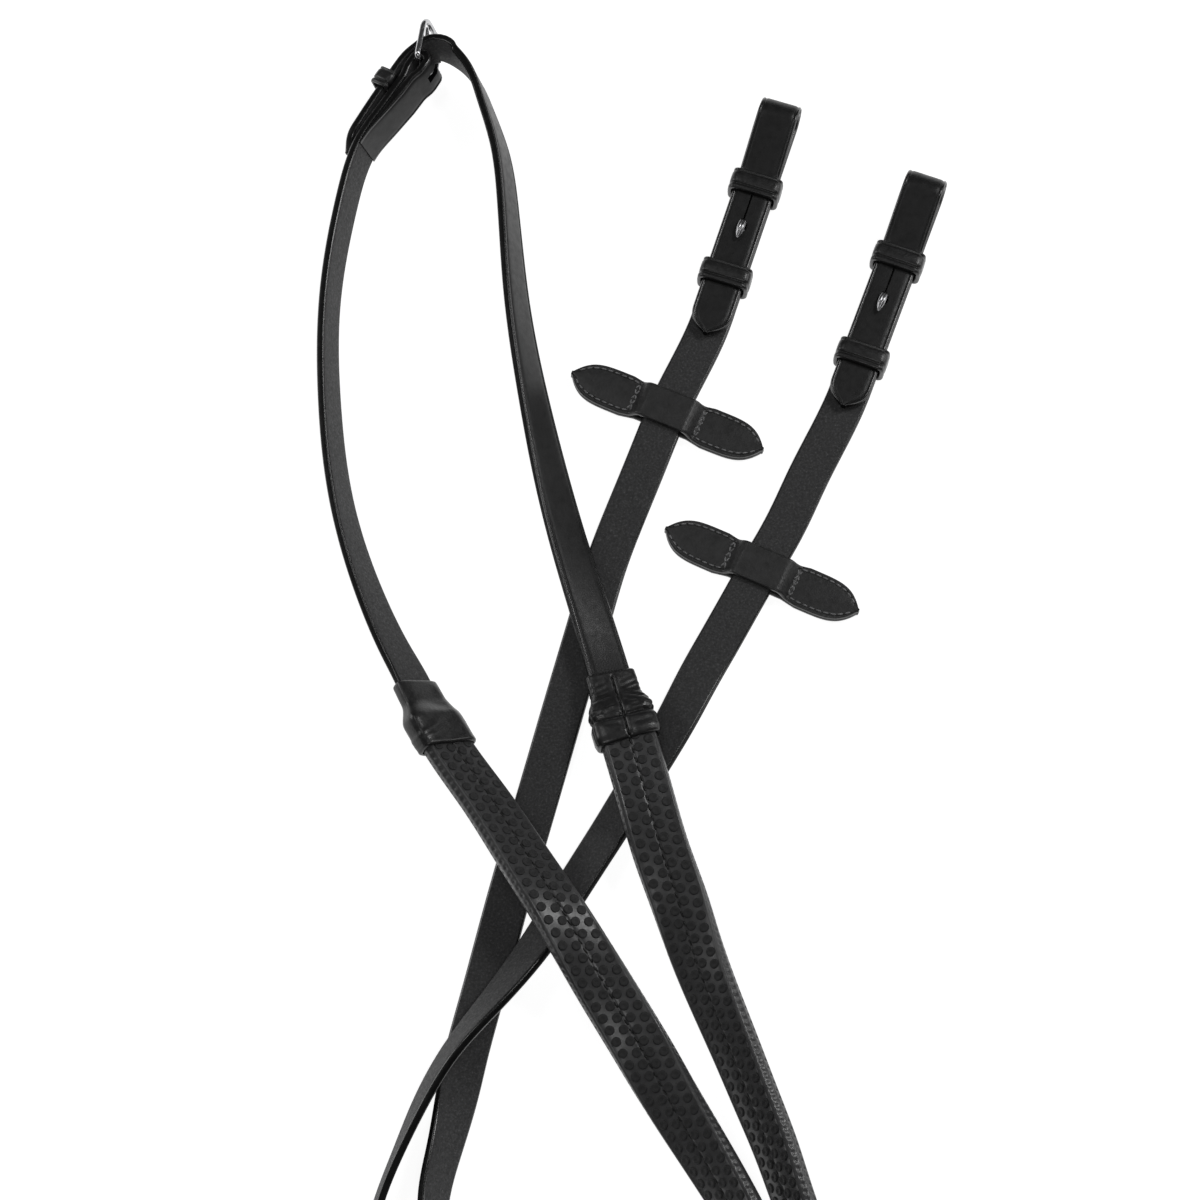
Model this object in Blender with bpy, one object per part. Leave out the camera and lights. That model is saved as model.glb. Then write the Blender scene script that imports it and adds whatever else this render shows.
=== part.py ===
"""Leather riding reins with rubber grips.

Two long straps, left and right, are joined by a small buckle at the hand end. Each strap runs
through a rubber grip, carries a sliding rein stop, and ends in a billet that is folded round the
bit ring and caught on a hook stud. The reins lie loosely on the plane z = 0, with the origin at
the middle of their footprint. Units are metres, +Z is up, and +Y points to the buckle end.
"""

import math
from collections import namedtuple

import bmesh
import bpy
import numpy as np
from mathutils import Matrix, Vector

MM = 0.001
GAP = 0.3 * MM

# Leather straps
STRAP_WIDTH = 16 * MM
STRAP_THICKNESS = 3.2 * MM
STRAP_CHAMFER = 0.6 * MM
GRIP_LENGTH = 500 * MM

# Rubber grips and the thin leather sleeves over their ends
GRIP_WIDTH = 21.5 * MM
GRIP_THICKNESS = 6.5 * MM
GRIP_CHAMFER = 1.6 * MM
CORE_CLEARANCE = 0.4 * MM
SLEEVE_WALL = 1.1 * MM
SLEEVE_ON_STRAP = 17 * MM
SLEEVE_ON_GRIP = 12 * MM

# Billets: distances are measured back along the strap from the front of the bit loop
BILLET_HEIGHT = 3.7 * MM
LAYER_GAP = 1.2 * MM
BIT_LOOP_RADIUS = 6.2 * MM
BIT_LOOP_TURN = math.radians(200)
BIT_LOOP_EASE = 8 * MM
BIT_SEAT_DEPTH = 21 * MM
BILLET_START = 88 * MM
TIP_DISTANCE = 103 * MM
TIP_LENGTH = 11.5 * MM
TIP_POWER = 3.2
TIP_END_SHARE = 0.12
STUD_DISTANCE = 54.5 * MM

# Hook studs: a plate between the layers, a rivet with a washer, and a hook through the upper layer
PLATE_RADIUS = 3.6 * MM
PLATE_THICKNESS = 0.6 * MM
PLATE_STRETCH = 1.25
RIVET_RADIUS = 1.3 * MM
RIVET_HOLE_RADIUS = 1.65 * MM
RIVET_END = 1.0 * MM
BURR_RADIUS = 3.3 * MM
BURR_THICKNESS = 0.8 * MM
HOOK_SECTION = (3.0 * MM, 1.5 * MM, 0.4 * MM)
HOOK_CLEARANCE = 0.9 * MM
HOOK_BEND = (1.7 * MM, math.radians(100))
HOOK_REACH = 5.6 * MM
HOOK_HOLE_RADIUS = 2.0 * MM
HOOK_HOLE_STRETCH = 0.75
SLIT_LENGTH = 12 * MM
SLIT_WIDTH = 0.8 * MM
CUT_DEPTH = 4.4 * MM

# Keepers
KEEPER_BAND = 9.0 * MM
KEEPER_WALL = 1.8 * MM
KEEPER_CORNER = 1.9 * MM
KEEPER_CHAMFER = 0.45 * MM
BUCKLE_KEEPER_BAND = 7.6 * MM
BUCKLE_KEEPER_WALL = 1.3 * MM
BUCKLE_KEEPER_CORNER = 1.4 * MM
BUCKLE_KEEPER_PLAY = 2.2 * MM
BUCKLE_KEEPER_CHAMFER = 0.35 * MM
KEEPER_SLACK = 0.4 * MM

# Rein stops
STOP_LENGTH = 80.5 * MM
STOP_WIDTH = 16.6 * MM
STOP_BRIDGE_WIDTH = 14.4 * MM
STOP_BRIDGE_HALF = 11 * MM
STOP_SHOULDER = 17 * MM
STOP_END_POWER = 4.6
STOP_END_WIDTH = 2.0 * MM
STOP_LAYER = 1.8 * MM
STOP_CHAMFER = 0.4 * MM
STOP_STEP_TURN = math.radians(46)
STOP_STEP_RADIUS = 3.0 * MM
STOP_FLAT = 8.2 * MM

# Buckle: bar centre, bar direction, and the directions of the folded strap and of the frame
BAR_CENTRE = Vector((-82.7, 300.3, 13.8)) * MM
BAR_AXIS = Vector((-0.28, 0.12, 0.9525)).normalized()
FOLD_GUESS = Vector((0.57, 0.82, 0))
FRAME_GUESS = Vector((0.12, 0.99, 0))
BAR_RADIUS = 1.15 * MM
FRAME_REACH = 18.5 * MM
FRAME_HALF_WIDTH = 9.9 * MM
FRAME_CORNERS = (5 * MM, 1.7 * MM)
FOLD_RADIUS = 3.1 * MM
FOLD_LAYER = 1.75 * MM
FOLD_EASE = 10 * MM
FOLD_RUN = 10 * MM
TURNED_BACK = 42 * MM
PARED_LENGTH = 12 * MM
PARED_END = 1.0 * MM
TONGUE_WIDTH = 2.4 * MM
TONGUE_THICKNESS = 2.0 * MM
TONGUE_CHAMFER = 0.4 * MM
TONGUE_OFFSET = 2.6 * MM
TONGUE_OVERHANG = 1.7 * MM
TONGUE_ROOT = 2.0 * MM
TONGUE_EYE_WALL = 2.2 * MM
TONGUE_TAPER = {0: 1.0, 0.8: 0.85, 0.95: 0.75, 1: 0.45}
TONGUE_SLOT = (14 * MM, 14 * MM, 3.4 * MM)
TONGUE_SLOT_MIDDLE = -1 * MM
USED_HOLE = (7.8 * MM, 1.2 * MM)
USED_HOLE_RADIUS = 1.7 * MM
USED_HOLE_STRETCH = 1.5
SPARE_HOLE = (-27 * MM, 6.6 * MM)
SPARE_HOLE_RADIUS = 1.6 * MM
TIP_HOLE_DEPTH = 6 * MM

# Routes, as hand-chosen points (x, y, z in millimetres, roll in degrees). Roll 0 lays the strap
# flat with its front face up, and a positive roll turns the front face to the left of travel.
LEFT_ROUTE = [
    (-112.5, 245.7, 9.4, 72),
    (-118.4, 203.0, 8.4, 72),
    (-117.6, 161.0, 8.2, 68),
    (-112.1, 119.7, 8.0, 63),
    (-99.5, 79.2, 7.6, 53),
    (-90.4, 59.1, 7.9, 46),
    (-85.0, 48.7, 9.2, 42),
    (-80.1, 38.1, 11.3, 40),
    (-69.9, 19.2, 12.0, 38),
    (-55.8, -1.8, 14.2, 35),
    (-43.4, -22.0, 17.5, 30),
    (-29.7, -44.4, 20.5, 22),
    (-12.2, -72.2, 13.5, 2),
    (1.9, -94.5, 7.8, -10),
    (12.5, -113.1, 8.4, -27),
    (23.5, -131.7, 9.8, -40),
    (34.0, -149.6, 10.6, -50),
    (45.5, -172.0, 11.0, -62),
    (53.5, -201.0, 11.2, -78),
    (53.0, -234.0, 11.2, -90),
    (42.0, -267.0, 11.2, -90),
    (20.0, -294.0, 11.2, -90),
    (-9.5, -308.5, 11.2, -90),
    (-40.5, -306.0, 11.2, -90),
    (-65.5, -287.0, 12.3, -90),
    (-76.5, -260.0, 12.5, -90),
    (-71.0, -234.0, 10.4, -90),
    (-59.5, -211.0, 8.4, -88),
    (-62.0, -188.5, 8.4, -76),
    (-71.5, -167.0, 8.3, -64),
    (-73.1, -149.1, 7.8, -55),
    (-69.6, -131.2, 7.2, -47),
    (-65.6, -112.4, 5.2, -26),
    (-61.7, -93.0, 2.4, -4),
    (-57.0, -74.4, 1.9, -1),
    (-47.5, -36.6, 1.8, 0),
    (-37.0, 2.0, 1.8, 0),
    (-26.3, 41.3, 1.8, 0),
    (-15.8, 79.3, 1.8, 0),
    (-11.0, 96.2, 1.8, 0),
    (-3.9, 115.6, 2.8, 0),
    (4.4, 136.9, 3.7, 0),
    (14.7, 163.0, 3.7, 0),
]
RIGHT_ROUTE = [
    (-73.3, 308.3, 13.4, 92),
    (-68.9, 304.9, 12.8, 85),
    (-63.3, 297.7, 11.6, 79),
    (-59.3, 287.9, 10.4, 75),
    (-52.9, 267.5, 9.0, 70),
    (-49.8, 245.9, 8.4, 67),
    (-45.8, 203.1, 8.1, 59),
    (-38.9, 161.3, 7.5, 48),
    (-29.9, 119.9, 7.4, 33),
    (-23.4, 95.1, 8.4, 26),
    (-18.0, 76.7, 9.0, 20),
    (-9.8, 48.1, 9.8, 10),
    (-2.7, 21.4, 13.4, 4),
    (2.4, 2.8, 14.4, 3),
    (9.0, -20.7, 12.2, -1),
    (15.4, -38.4, 9.2, -12),
    (21.5, -57.2, 8.4, -28),
    (28.4, -76.3, 9.6, -40),
    (35.8, -95.2, 10.4, -48),
    (42.9, -113.7, 10.8, -53),
    (49.8, -132.0, 11.1, -57),
    (55.6, -149.8, 11.2, -61),
    (64.0, -175.0, 11.3, -68),
    (68.0, -210.0, 11.3, -80),
    (66.0, -243.0, 11.2, -90),
    (54.5, -276.0, 11.2, -90),
    (33.0, -302.5, 11.2, -90),
    (2.5, -317.5, 11.2, -90),
    (-30.5, -317.5, 11.2, -90),
    (-60.0, -305.0, 11.5, -90),
    (-83.0, -281.0, 12.6, -90),
    (-95.5, -252.0, 12.3, -90),
    (-100.5, -216.0, 9.0, -94),
    (-98.5, -182.0, 8.6, -98),
    (-92.3, -149.2, 8.5, -100),
    (-85.6, -131.5, 8.9, -103),
    (-77.8, -113.8, 10.3, -110),
    (-67.9, -97.4, 14.6, -116),
    (-54.5, -80.2, 14.2, -126),
    (-36.5, -55.1, 9.7, -141),
    (-23.1, -32.7, 7.2, -147),
    (-9.4, -9.9, 5.5, -150),
    (3.3, 11.7, 4.9, -156),
    (15.4, 33.4, 4.2, -164),
    (24.1, 50.6, 3.7, -174),
    (29.9, 61.2, 3.7, -180),
    (38.9, 77.7, 3.7, -180),
    (48.0, 94.3, 3.7, -180),
    (57.1, 110.9, 3.7, -180),
    (66.6, 131.6, 3.7, -180),
]

# The tip strap beyond the buckle: distance along the fold and out from the bar, in millimetres
TIP_ROUTE = [
    (-46, 5.4),
    (-30, 6.5),
    (-20, 7.0),
    (-13.5, 7.1),
    (-7, 7.2),
    (-1.5, 7.1),
    (6.2, 4.9),
    (10.9, -0.2),
]
TIP_ROLLS = [107, 107, 107, 107, 107, 107, 103, 99]

SIDES = {
    "left": {
        "face_up": 1,
        "grip_start": 293 * MM,
        "loop_front": Vector((58.85, 286.95, 0)) * MM,
        "heading": Vector((0.3060, 0.9520, 0)).normalized(),
        "keepers": (36.8 * MM, 77.1 * MM),
        "stop_place": Vector((12.4, 158.5, 0)) * MM,
        "stop_along": Vector((30.9, 78.1, 0)).normalized(),
        "stop_skew": math.radians(-2),
    },
    "right": {
        "face_up": -1,
        "grip_start": 296.5 * MM,
        "loop_front": Vector((115.4, 254.95, 0)) * MM,
        "heading": Vector((0.3437, 0.9391, 0)).normalized(),
        "keepers": (36.8 * MM, 80.5 * MM),
        "stop_place": Vector((48.0, 93.2, 0)) * MM,
        "stop_along": Vector((27.2, 49.7, 0)).normalized(),
        "stop_skew": math.radians(4),
    },
}

Station = namedtuple("Station", "point across face distance")


# ---------------------------------------------------------------- scene and materials

def clear_scene():
    for obj in list(bpy.data.objects):
        bpy.data.objects.remove(obj, do_unlink=True)


def principled(name, colour, roughness, metallic=0.0):
    material = bpy.data.materials.new(name)
    material.use_nodes = True
    shader = material.node_tree.nodes["Principled BSDF"]
    shader.inputs["Base Color"].default_value = (*colour, 1)
    shader.inputs["Roughness"].default_value = roughness
    shader.inputs["Metallic"].default_value = metallic
    return material


def make_materials():
    return {
        "leather": principled("black_leather", (0.018, 0.018, 0.019), 0.5),
        "trim": principled("trim_leather", (0.014, 0.014, 0.015), 0.42),
        "rubber": principled("grip_rubber", (0.035, 0.035, 0.036), 0.62),
        "steel": principled("polished_steel", (0.72, 0.72, 0.73), 0.18, 1.0),
    }


def add_object(name, mesh_tool, material, origin=None):
    """Make a named object from a bmesh, with its origin at the given point."""
    bmesh.ops.recalc_face_normals(mesh_tool, faces=mesh_tool.faces)
    if origin is not None:
        bmesh.ops.translate(mesh_tool, verts=mesh_tool.verts, vec=-origin)
    mesh = bpy.data.meshes.new(name)
    mesh_tool.to_mesh(mesh)
    mesh_tool.free()
    mesh.shade_smooth()
    mesh.set_sharp_from_angle(angle=math.radians(35))
    obj = bpy.data.objects.new(name, mesh)
    if origin is not None:
        obj.location = origin
    bpy.context.collection.objects.link(obj)
    if material is not None:
        mesh.materials.append(material)
    return obj


def shape_with(obj, tool, operation):
    """Cut or join a helper shape with a live exact Boolean."""
    tool.hide_render = True
    tool.display_type = "WIRE"
    modifier = obj.modifiers.new(operation.lower(), "BOOLEAN")
    modifier.operation = operation
    modifier.object = tool
    modifier.solver = "EXACT"


# ---------------------------------------------------------------- paths

def smooth_curve(rows):
    """A natural cubic spline through rows of numbers, as (function of distance, end distance)."""
    rows = np.array(rows, dtype=float)
    chords = np.linalg.norm(np.diff(rows[:, :3], axis=0), axis=1)
    knots = np.concatenate([[0.0], np.cumsum(chords)])
    count = len(rows)
    system = np.zeros((count, count))
    target = np.zeros_like(rows)
    system[0, 0] = system[-1, -1] = 1
    for i in range(1, count - 1):
        system[i, i - 1] = chords[i - 1]
        system[i, i] = 2 * (chords[i - 1] + chords[i])
        system[i, i + 1] = chords[i]
        slope_after = (rows[i + 1] - rows[i]) / chords[i]
        slope_before = (rows[i] - rows[i - 1]) / chords[i - 1]
        target[i] = 6 * (slope_after - slope_before)
    bend = np.linalg.solve(system, target)

    def at(distance):
        i = min(max(int(np.searchsorted(knots, distance)) - 1, 0), count - 2)
        span = chords[i]
        after = (distance - knots[i]) / span
        before = 1 - after
        curved = (before ** 3 - before) * bend[i] + (after ** 3 - after) * bend[i + 1]
        return before * rows[i] + after * rows[i + 1] + curved * span ** 2 / 6

    return at, knots[-1]


def route_stations(rows, step=1 * MM):
    """Closely spaced stations along a strap's route."""
    at, total = smooth_curve(rows)
    count = int(total / step)
    samples = [at(total * i / count) for i in range(count + 1)]
    points = [Vector(sample[:3]) for sample in samples]
    stations = []
    for i, sample in enumerate(samples):
        travel = (points[min(i + 1, count)] - points[max(i - 1, 0)]).normalized()
        left = Vector((0, 0, 1)).cross(travel).normalized()
        above = travel.cross(left)
        roll = math.radians(sample[3])
        across = left * math.cos(roll) - above * math.sin(roll)
        face = above * math.cos(roll) + left * math.sin(roll)
        stations.append(Station(points[i], across, face, 0))
    return stations


def planar_stations(start, forward, up, across, moves, step=1 * MM):
    """Stations along lines and arcs in one plane. A move is (length, turn in radians)."""
    stations = []
    point, heading = start.copy(), 0.0
    for length, turn in moves:
        count = max(1, math.ceil(length / step))
        for _ in range(count):
            travel = forward * math.cos(heading) + up * math.sin(heading)
            stations.append(Station(point.copy(), across, travel.cross(across), 0))
            middle = heading + turn / count / 2
            point = point + (forward * math.cos(middle) + up * math.sin(middle)) * (length / count)
            heading += turn / count
    travel = forward * math.cos(heading) + up * math.sin(heading)
    stations.append(Station(point, across, travel.cross(across), 0))
    return stations


def arc(radius, turn):
    return (radius * abs(turn), turn)


def measured(stations, zero=0):
    """Give each station its distance along the strap, counted from station number zero."""
    distances = [0.0]
    for before, after in zip(stations, stations[1:]):
        distances.append(distances[-1] + (after.point - before.point).length)
    return [s._replace(distance=d - distances[zero]) for s, d in zip(stations, distances)]


def thin_out(stations, kept_distances, longest=15 * MM, turn=math.radians(9)):
    """Keep few stations where the strap runs straight and more where it bends or twists."""
    kept = [stations[0]]
    wanted = sorted(kept_distances)
    for i in range(1, len(stations) - 1):
        here, last = stations[i], kept[-1]
        must = any(last.distance < d <= here.distance for d in wanted)
        bent = max(here.face.angle(last.face), here.across.angle(last.across))
        if must or bent > turn or here.distance - last.distance > longest:
            kept.append(here)
    return kept + [stations[-1]]


def between(stations, start, end):
    return [s for s in stations if start - 0.1 * MM <= s.distance <= end + 1.1 * MM]


# ---------------------------------------------------------------- swept shapes

def chamfered(width, thickness, chamfer, lift=0):
    """Eight corners of a flat section, as (across, face) pairs, lifted towards the face."""
    half_w, half_t = width / 2, thickness / 2
    cut = min(chamfer, half_w * 0.6, half_t * 0.6)
    quarter = [(half_w, half_t - cut), (half_w - cut, half_t)]
    corners = list(quarter)
    corners += [(-x, y) for x, y in reversed(quarter)]
    corners += [(-x, -y) for x, y in quarter]
    corners += [(x, -y) for x, y in reversed(quarter)]
    return [(x, y + lift) for x, y in corners]


def ring_at(tool, station, section):
    return [tool.verts.new(station.point + station.across * x + station.face * y) for x, y in section]


def join_rings(tool, first, second):
    count = len(first)
    for i in range(count):
        j = (i + 1) % count
        tool.faces.new((first[i], first[j], second[j], second[i]))


def sweep(stations, section_of):
    """A solid strap: one section at each station, closed at both ends."""
    tool = bmesh.new()
    rings = [ring_at(tool, s, section_of(s)) for s in stations]
    for first, second in zip(rings, rings[1:]):
        join_rings(tool, first, second)
    tool.faces.new(rings[0])
    tool.faces.new(rings[-1])
    return tool


def sweep_tube(stations, outer_of, inner_of):
    """A hollow tube, open at both ends."""
    tool = bmesh.new()
    outer = [ring_at(tool, s, outer_of(s)) for s in stations]
    inner = [ring_at(tool, s, inner_of(s)) for s in stations]
    for rings in (outer, inner):
        for first, second in zip(rings, rings[1:]):
            join_rings(tool, first, second)
    join_rings(tool, outer[0], inner[0])
    join_rings(tool, outer[-1], inner[-1])
    return tool


def sweep_loop(stations, section_of):
    """A closed ring, such as a keeper or a buckle frame."""
    tool = bmesh.new()
    rings = [ring_at(tool, s, section_of(s)) for s in stations]
    for i, ring in enumerate(rings):
        join_rings(tool, ring, rings[(i + 1) % len(rings)])
    return tool


def rounded_rectangle(centre, side, rise, half_side, half_rise, radii, segments):
    """Stations round a rectangle. Radii are for the corners on the +side and the -side."""
    axis = side.cross(rise)
    stations = []
    corners = [(1, 1, 0), (-1, 1, 90), (-1, -1, 180), (1, -1, 270)]
    for sign_side, sign_rise, start in corners:
        radius = radii[0] if sign_side > 0 else radii[1]
        sideways = side * sign_side * (half_side - radius)
        middle = centre + sideways + rise * sign_rise * (half_rise - radius)
        for i in range(segments + 1):
            angle = math.radians(start + 90 * i / segments)
            outward = side * math.cos(angle) + rise * math.sin(angle)
            stations.append(Station(middle + outward * radius, axis, outward, 0))
    return stations


def round_section(radius, sides=8):
    turns = [2 * math.pi * (i + 0.5) / sides for i in range(sides)]
    return [(radius * math.cos(a), radius * math.sin(a)) for a in turns]


def block(centre, axes, sizes):
    """A box with its own axes."""
    tool = bmesh.new()
    matrix = Matrix([list(axis * size) for axis, size in zip(axes, sizes)]).transposed().to_4x4()
    matrix.translation = centre
    bmesh.ops.create_cube(tool, size=1, matrix=matrix)
    return tool


def disc(centre, axis, side, radius, thickness, stretch=1.0, sides=16):
    """A round or oval plate. Stretch lengthens it along side."""
    tool = bmesh.new()
    other = axis.cross(side)
    matrix = Matrix([list(side * stretch), list(other), list(axis)]).transposed().to_4x4()
    matrix.translation = centre
    bmesh.ops.create_cone(tool, cap_ends=True, segments=sides, radius1=radius, radius2=radius,
                          depth=thickness, matrix=matrix)
    return tool


def helper(name, tool):
    return add_object(name, tool, None)


# ---------------------------------------------------------------- buckle frame of reference

def square_to(axis, guess):
    return (guess - axis * guess.dot(axis)).normalized()


FOLD_AXIS = square_to(BAR_AXIS, FOLD_GUESS)
OUT_AXIS = BAR_AXIS.cross(FOLD_AXIS)
FRAME_AXIS = square_to(BAR_AXIS, FRAME_GUESS)
FRAME_SIDE = BAR_AXIS.cross(FRAME_AXIS)


def at_buckle(along, out, up=0.0):
    return BAR_CENTRE + FOLD_AXIS * along + OUT_AXIS * out + BAR_AXIS * up


def roll_along_bar(travel):
    """The roll that turns a strap's width to run down the buckle bar."""
    left = Vector((0, 0, 1)).cross(travel).normalized()
    above = travel.cross(left)
    return math.degrees(math.atan2(BAR_AXIS.dot(above), -BAR_AXIS.dot(left)))


def route_row(point, roll):
    return (*point, roll)


def in_metres(rows):
    return [(x * MM, y * MM, z * MM, roll) for x, y, z, roll in rows]


# ---------------------------------------------------------------- strap layouts

def fold_moves():
    """Round the buckle bar from both sides, drawing in until the two layers nearly touch."""
    sway = math.acos(1 - (FOLD_RADIUS - FOLD_LAYER) / 2 / FOLD_EASE)
    straight = FOLD_RUN - 2 * FOLD_EASE * math.sin(sway)
    out = [arc(FOLD_EASE, -sway), arc(FOLD_EASE, sway), (straight, 0)]
    back = [(straight, 0), arc(FOLD_EASE, sway), arc(FOLD_EASE, -sway)]
    return out + [arc(FOLD_RADIUS, math.pi)] + back


def bit_loop_moves():
    """Forward along the billet, round the bit ring and back over the standing layer."""
    radius, turn, ease = BIT_LOOP_RADIUS, BIT_LOOP_TURN, BIT_LOOP_EASE
    slope = turn - math.pi
    lift = STRAP_THICKNESS + LAYER_GAP
    drop = radius * (1 - math.cos(turn)) - ease * (1 - math.cos(slope)) - lift
    slant = drop / math.sin(slope)
    forward = BILLET_START - radius - STRAP_THICKNESS / 2
    back_run = radius * math.sin(slope) + slant * math.cos(slope) + ease * math.sin(slope)
    reach = TIP_DISTANCE - radius - STRAP_THICKNESS / 2
    return [(forward, 0), arc(radius, turn), (slant, 0), arc(ease, -slope), (reach - back_run, 0)]


def billet_stations(side):
    spec = SIDES[side]
    heading = spec["heading"]
    up = Vector((0, 0, 1))
    start = spec["loop_front"] - heading * BILLET_START + up * BILLET_HEIGHT
    across = up.cross(heading) * spec["face_up"]
    return planar_stations(start, heading, up, across, bit_loop_moves())


def billet_lead_in(side, roll):
    """Two points that bring a route straight into its billet."""
    spec = SIDES[side]
    rows = []
    for distance in (BILLET_START + 8 * MM, BILLET_START):
        point = spec["loop_front"] - spec["heading"] * distance
        rows.append((point.x, point.y, BILLET_HEIGHT, roll))
    return rows


def marks(side):
    """Distances from the buckle at which the grip and its sleeves start and end."""
    grip = (SIDES[side]["grip_start"], SIDES[side]["grip_start"] + GRIP_LENGTH)
    upper = (grip[0] - SLEEVE_ON_STRAP, grip[0] + SLEEVE_ON_GRIP)
    lower = (grip[1] - SLEEVE_ON_GRIP, grip[1] + SLEEVE_ON_STRAP)
    return grip, upper, lower


def left_stations():
    """The turned-back layer, the fold round the bar, the long run, and the billet."""
    fold_start = at_buckle(-FOLD_RUN, -FOLD_LAYER)
    fold = planar_stations(fold_start, FOLD_AXIS, OUT_AXIS, -BAR_AXIS, fold_moves())
    ahead = [at_buckle(-FOLD_RUN + step, FOLD_LAYER) for step in (0, -9 * MM, -18 * MM, -26 * MM)]
    rolls = [roll_along_bar(-FOLD_AXIS)] * len(ahead)
    lead = [route_row(point, roll) for point, roll in zip(ahead, rolls)]
    route = route_stations(lead + in_metres(LEFT_ROUTE) + billet_lead_in("left", 0))
    under = [s for s in route[:80] if (s.point - route[0].point).length < TURNED_BACK - FOLD_RUN]
    turned = [Station(s.point + s.face * 2 * FOLD_LAYER, s.across, -s.face, 0) for s in under[:0:-1]]
    start = turned + fold[:-1]
    bar = max(range(len(start)), key=lambda i: (start[i].point - BAR_CENTRE).dot(FOLD_AXIS))
    return measured(start + route[:-1] + billet_stations("left"), bar)


def right_stations():
    tip = [route_row(at_buckle(a * MM, o * MM), roll) for (a, o), roll in zip(TIP_ROUTE, TIP_ROLLS)]
    route = route_stations(tip + in_metres(RIGHT_ROUTE) + billet_lead_in("right", -180))
    stations = route[:-1] + billet_stations("right")
    buckle = min(range(90), key=lambda i: (stations[i].point - BAR_CENTRE - FRAME_AXIS * 7.6 * MM).length)
    return measured(stations, buckle)


def gothic(distance_to_end, length, full):
    """Width near a pointed end, by two arcs that meet at the point."""
    if distance_to_end >= length:
        return full
    share = 1 - distance_to_end / length
    return max(full * (1 - share ** TIP_POWER), TIP_END_SHARE * full)


def pointed_width(station, stations):
    """Full width, drawn in to a point near the last station."""
    return gothic(stations[-1].distance - station.distance, TIP_LENGTH, STRAP_WIDTH)


def left_section(stations):
    """The turned-back end is pared thin, and the billet end is pointed."""
    def section_of(station):
        share = min((station.distance - stations[0].distance) / PARED_LENGTH, 1)
        thickness = PARED_END + (STRAP_THICKNESS - PARED_END) * share
        lift = (STRAP_THICKNESS - thickness) / 2
        return chamfered(pointed_width(station, stations), thickness, STRAP_CHAMFER, lift)

    return section_of


def right_section(stations):
    """Both ends are pointed: the buckle tip and the billet."""
    def section_of(station):
        width = gothic(station.distance - stations[0].distance, TIP_LENGTH, STRAP_WIDTH)
        return chamfered(min(width, pointed_width(station, stations)), STRAP_THICKNESS, STRAP_CHAMFER)

    return section_of


# ---------------------------------------------------------------- pieces of one half

def taper_marks(stations):
    start, end = stations[0].distance, stations[-1].distance
    steps = [TIP_LENGTH * share for share in (0.12, 0.3, 0.5, 0.75, 1.0)]
    return [start + d for d in steps] + [end - d for d in steps]


def make_strap(side, stations, material):
    section_of = (left_section if side == "left" else right_section)(stations)
    return add_object(f"{side}_rein_strap", sweep(stations, section_of), material)


def make_grip(side, stations, material):
    grip = marks(side)[0]
    inner_width = STRAP_WIDTH + 2 * CORE_CLEARANCE
    inner_thickness = STRAP_THICKNESS + 2 * CORE_CLEARANCE

    def outer_of(_):
        return chamfered(GRIP_WIDTH, GRIP_THICKNESS, GRIP_CHAMFER)

    def inner_of(_):
        return chamfered(inner_width, inner_thickness, STRAP_CHAMFER)

    tool = sweep_tube(between(stations, *grip), outer_of, inner_of)
    return add_object(f"{side}_rubber_grip", tool, material)


def make_sleeve(name, stations, strap_end, grip_end, material):
    """A thin wrap that flares from the strap to the end of the grip."""
    inner_small = (STRAP_WIDTH + 2 * CORE_CLEARANCE, STRAP_THICKNESS + 2 * CORE_CLEARANCE)
    inner_large = (GRIP_WIDTH + 2 * GAP, GRIP_THICKNESS + 2 * GAP)
    span = abs(grip_end - strap_end)
    flare_from = (SLEEVE_ON_STRAP - 7 * MM) / span
    flare_to = (SLEEVE_ON_STRAP - 2.5 * MM) / span

    def inner_size(station):
        share = abs(station.distance - strap_end) / span
        flare = min(max((share - flare_from) / (flare_to - flare_from), 0), 1)
        return [small + (large - small) * flare for small, large in zip(inner_small, inner_large)]

    def inner_of(station):
        width, thickness = inner_size(station)
        return chamfered(width, thickness, STRAP_CHAMFER)

    def outer_of(station):
        width, thickness = inner_size(station)
        return chamfered(width + 2 * SLEEVE_WALL, thickness + 2 * SLEEVE_WALL, SLEEVE_WALL)

    low, high = sorted((strap_end, grip_end))
    tool = sweep_tube(between(stations, low, high), outer_of, inner_of)
    return add_object(name, tool, material)


def seat_mark(stations):
    """The distance at which the seat inside the bit loop starts; it ends in the first of the bend.

    It rises by 0.06 mm to the bend, which keeps it apart from the flat run under the folded layer.
    """
    billet = sum(length for length, _ in bit_loop_moves())
    return stations[-1].distance - billet + BILLET_START - BIT_SEAT_DEPTH


def sleeve_marks(side):
    """Extra stations where a sleeve starts to flare and where the flare ends."""
    grip, upper, lower = marks(side)
    extra = [*grip, *upper, *lower]
    for offset in (7 * MM, 2.5 * MM):
        extra += [grip[0] - offset, grip[1] + offset]
    return extra


def on_billet(side, distance, height):
    spec = SIDES[side]
    return spec["loop_front"] - spec["heading"] * distance + Vector((0, 0, height))


def make_billet_keeper(name, side, distance, material):
    heading = SIDES[side]["heading"]
    up = Vector((0, 0, 1))
    cross = up.cross(heading)
    stack = 2 * STRAP_THICKNESS + LAYER_GAP
    half_rise = stack / 2 + GAP + KEEPER_WALL / 2
    half_side = STRAP_WIDTH / 2 + GAP + KEEPER_WALL / 2
    centre = on_billet(side, distance, BILLET_HEIGHT - STRAP_THICKNESS / 2 + stack / 2)
    corners = (KEEPER_CORNER, KEEPER_CORNER)
    path = rounded_rectangle(centre, cross, up, half_side, half_rise, corners, 4)
    tool = sweep_loop(path, lambda _: chamfered(KEEPER_BAND, KEEPER_WALL, KEEPER_CHAMFER))
    return add_object(name, tool, material)


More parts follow.
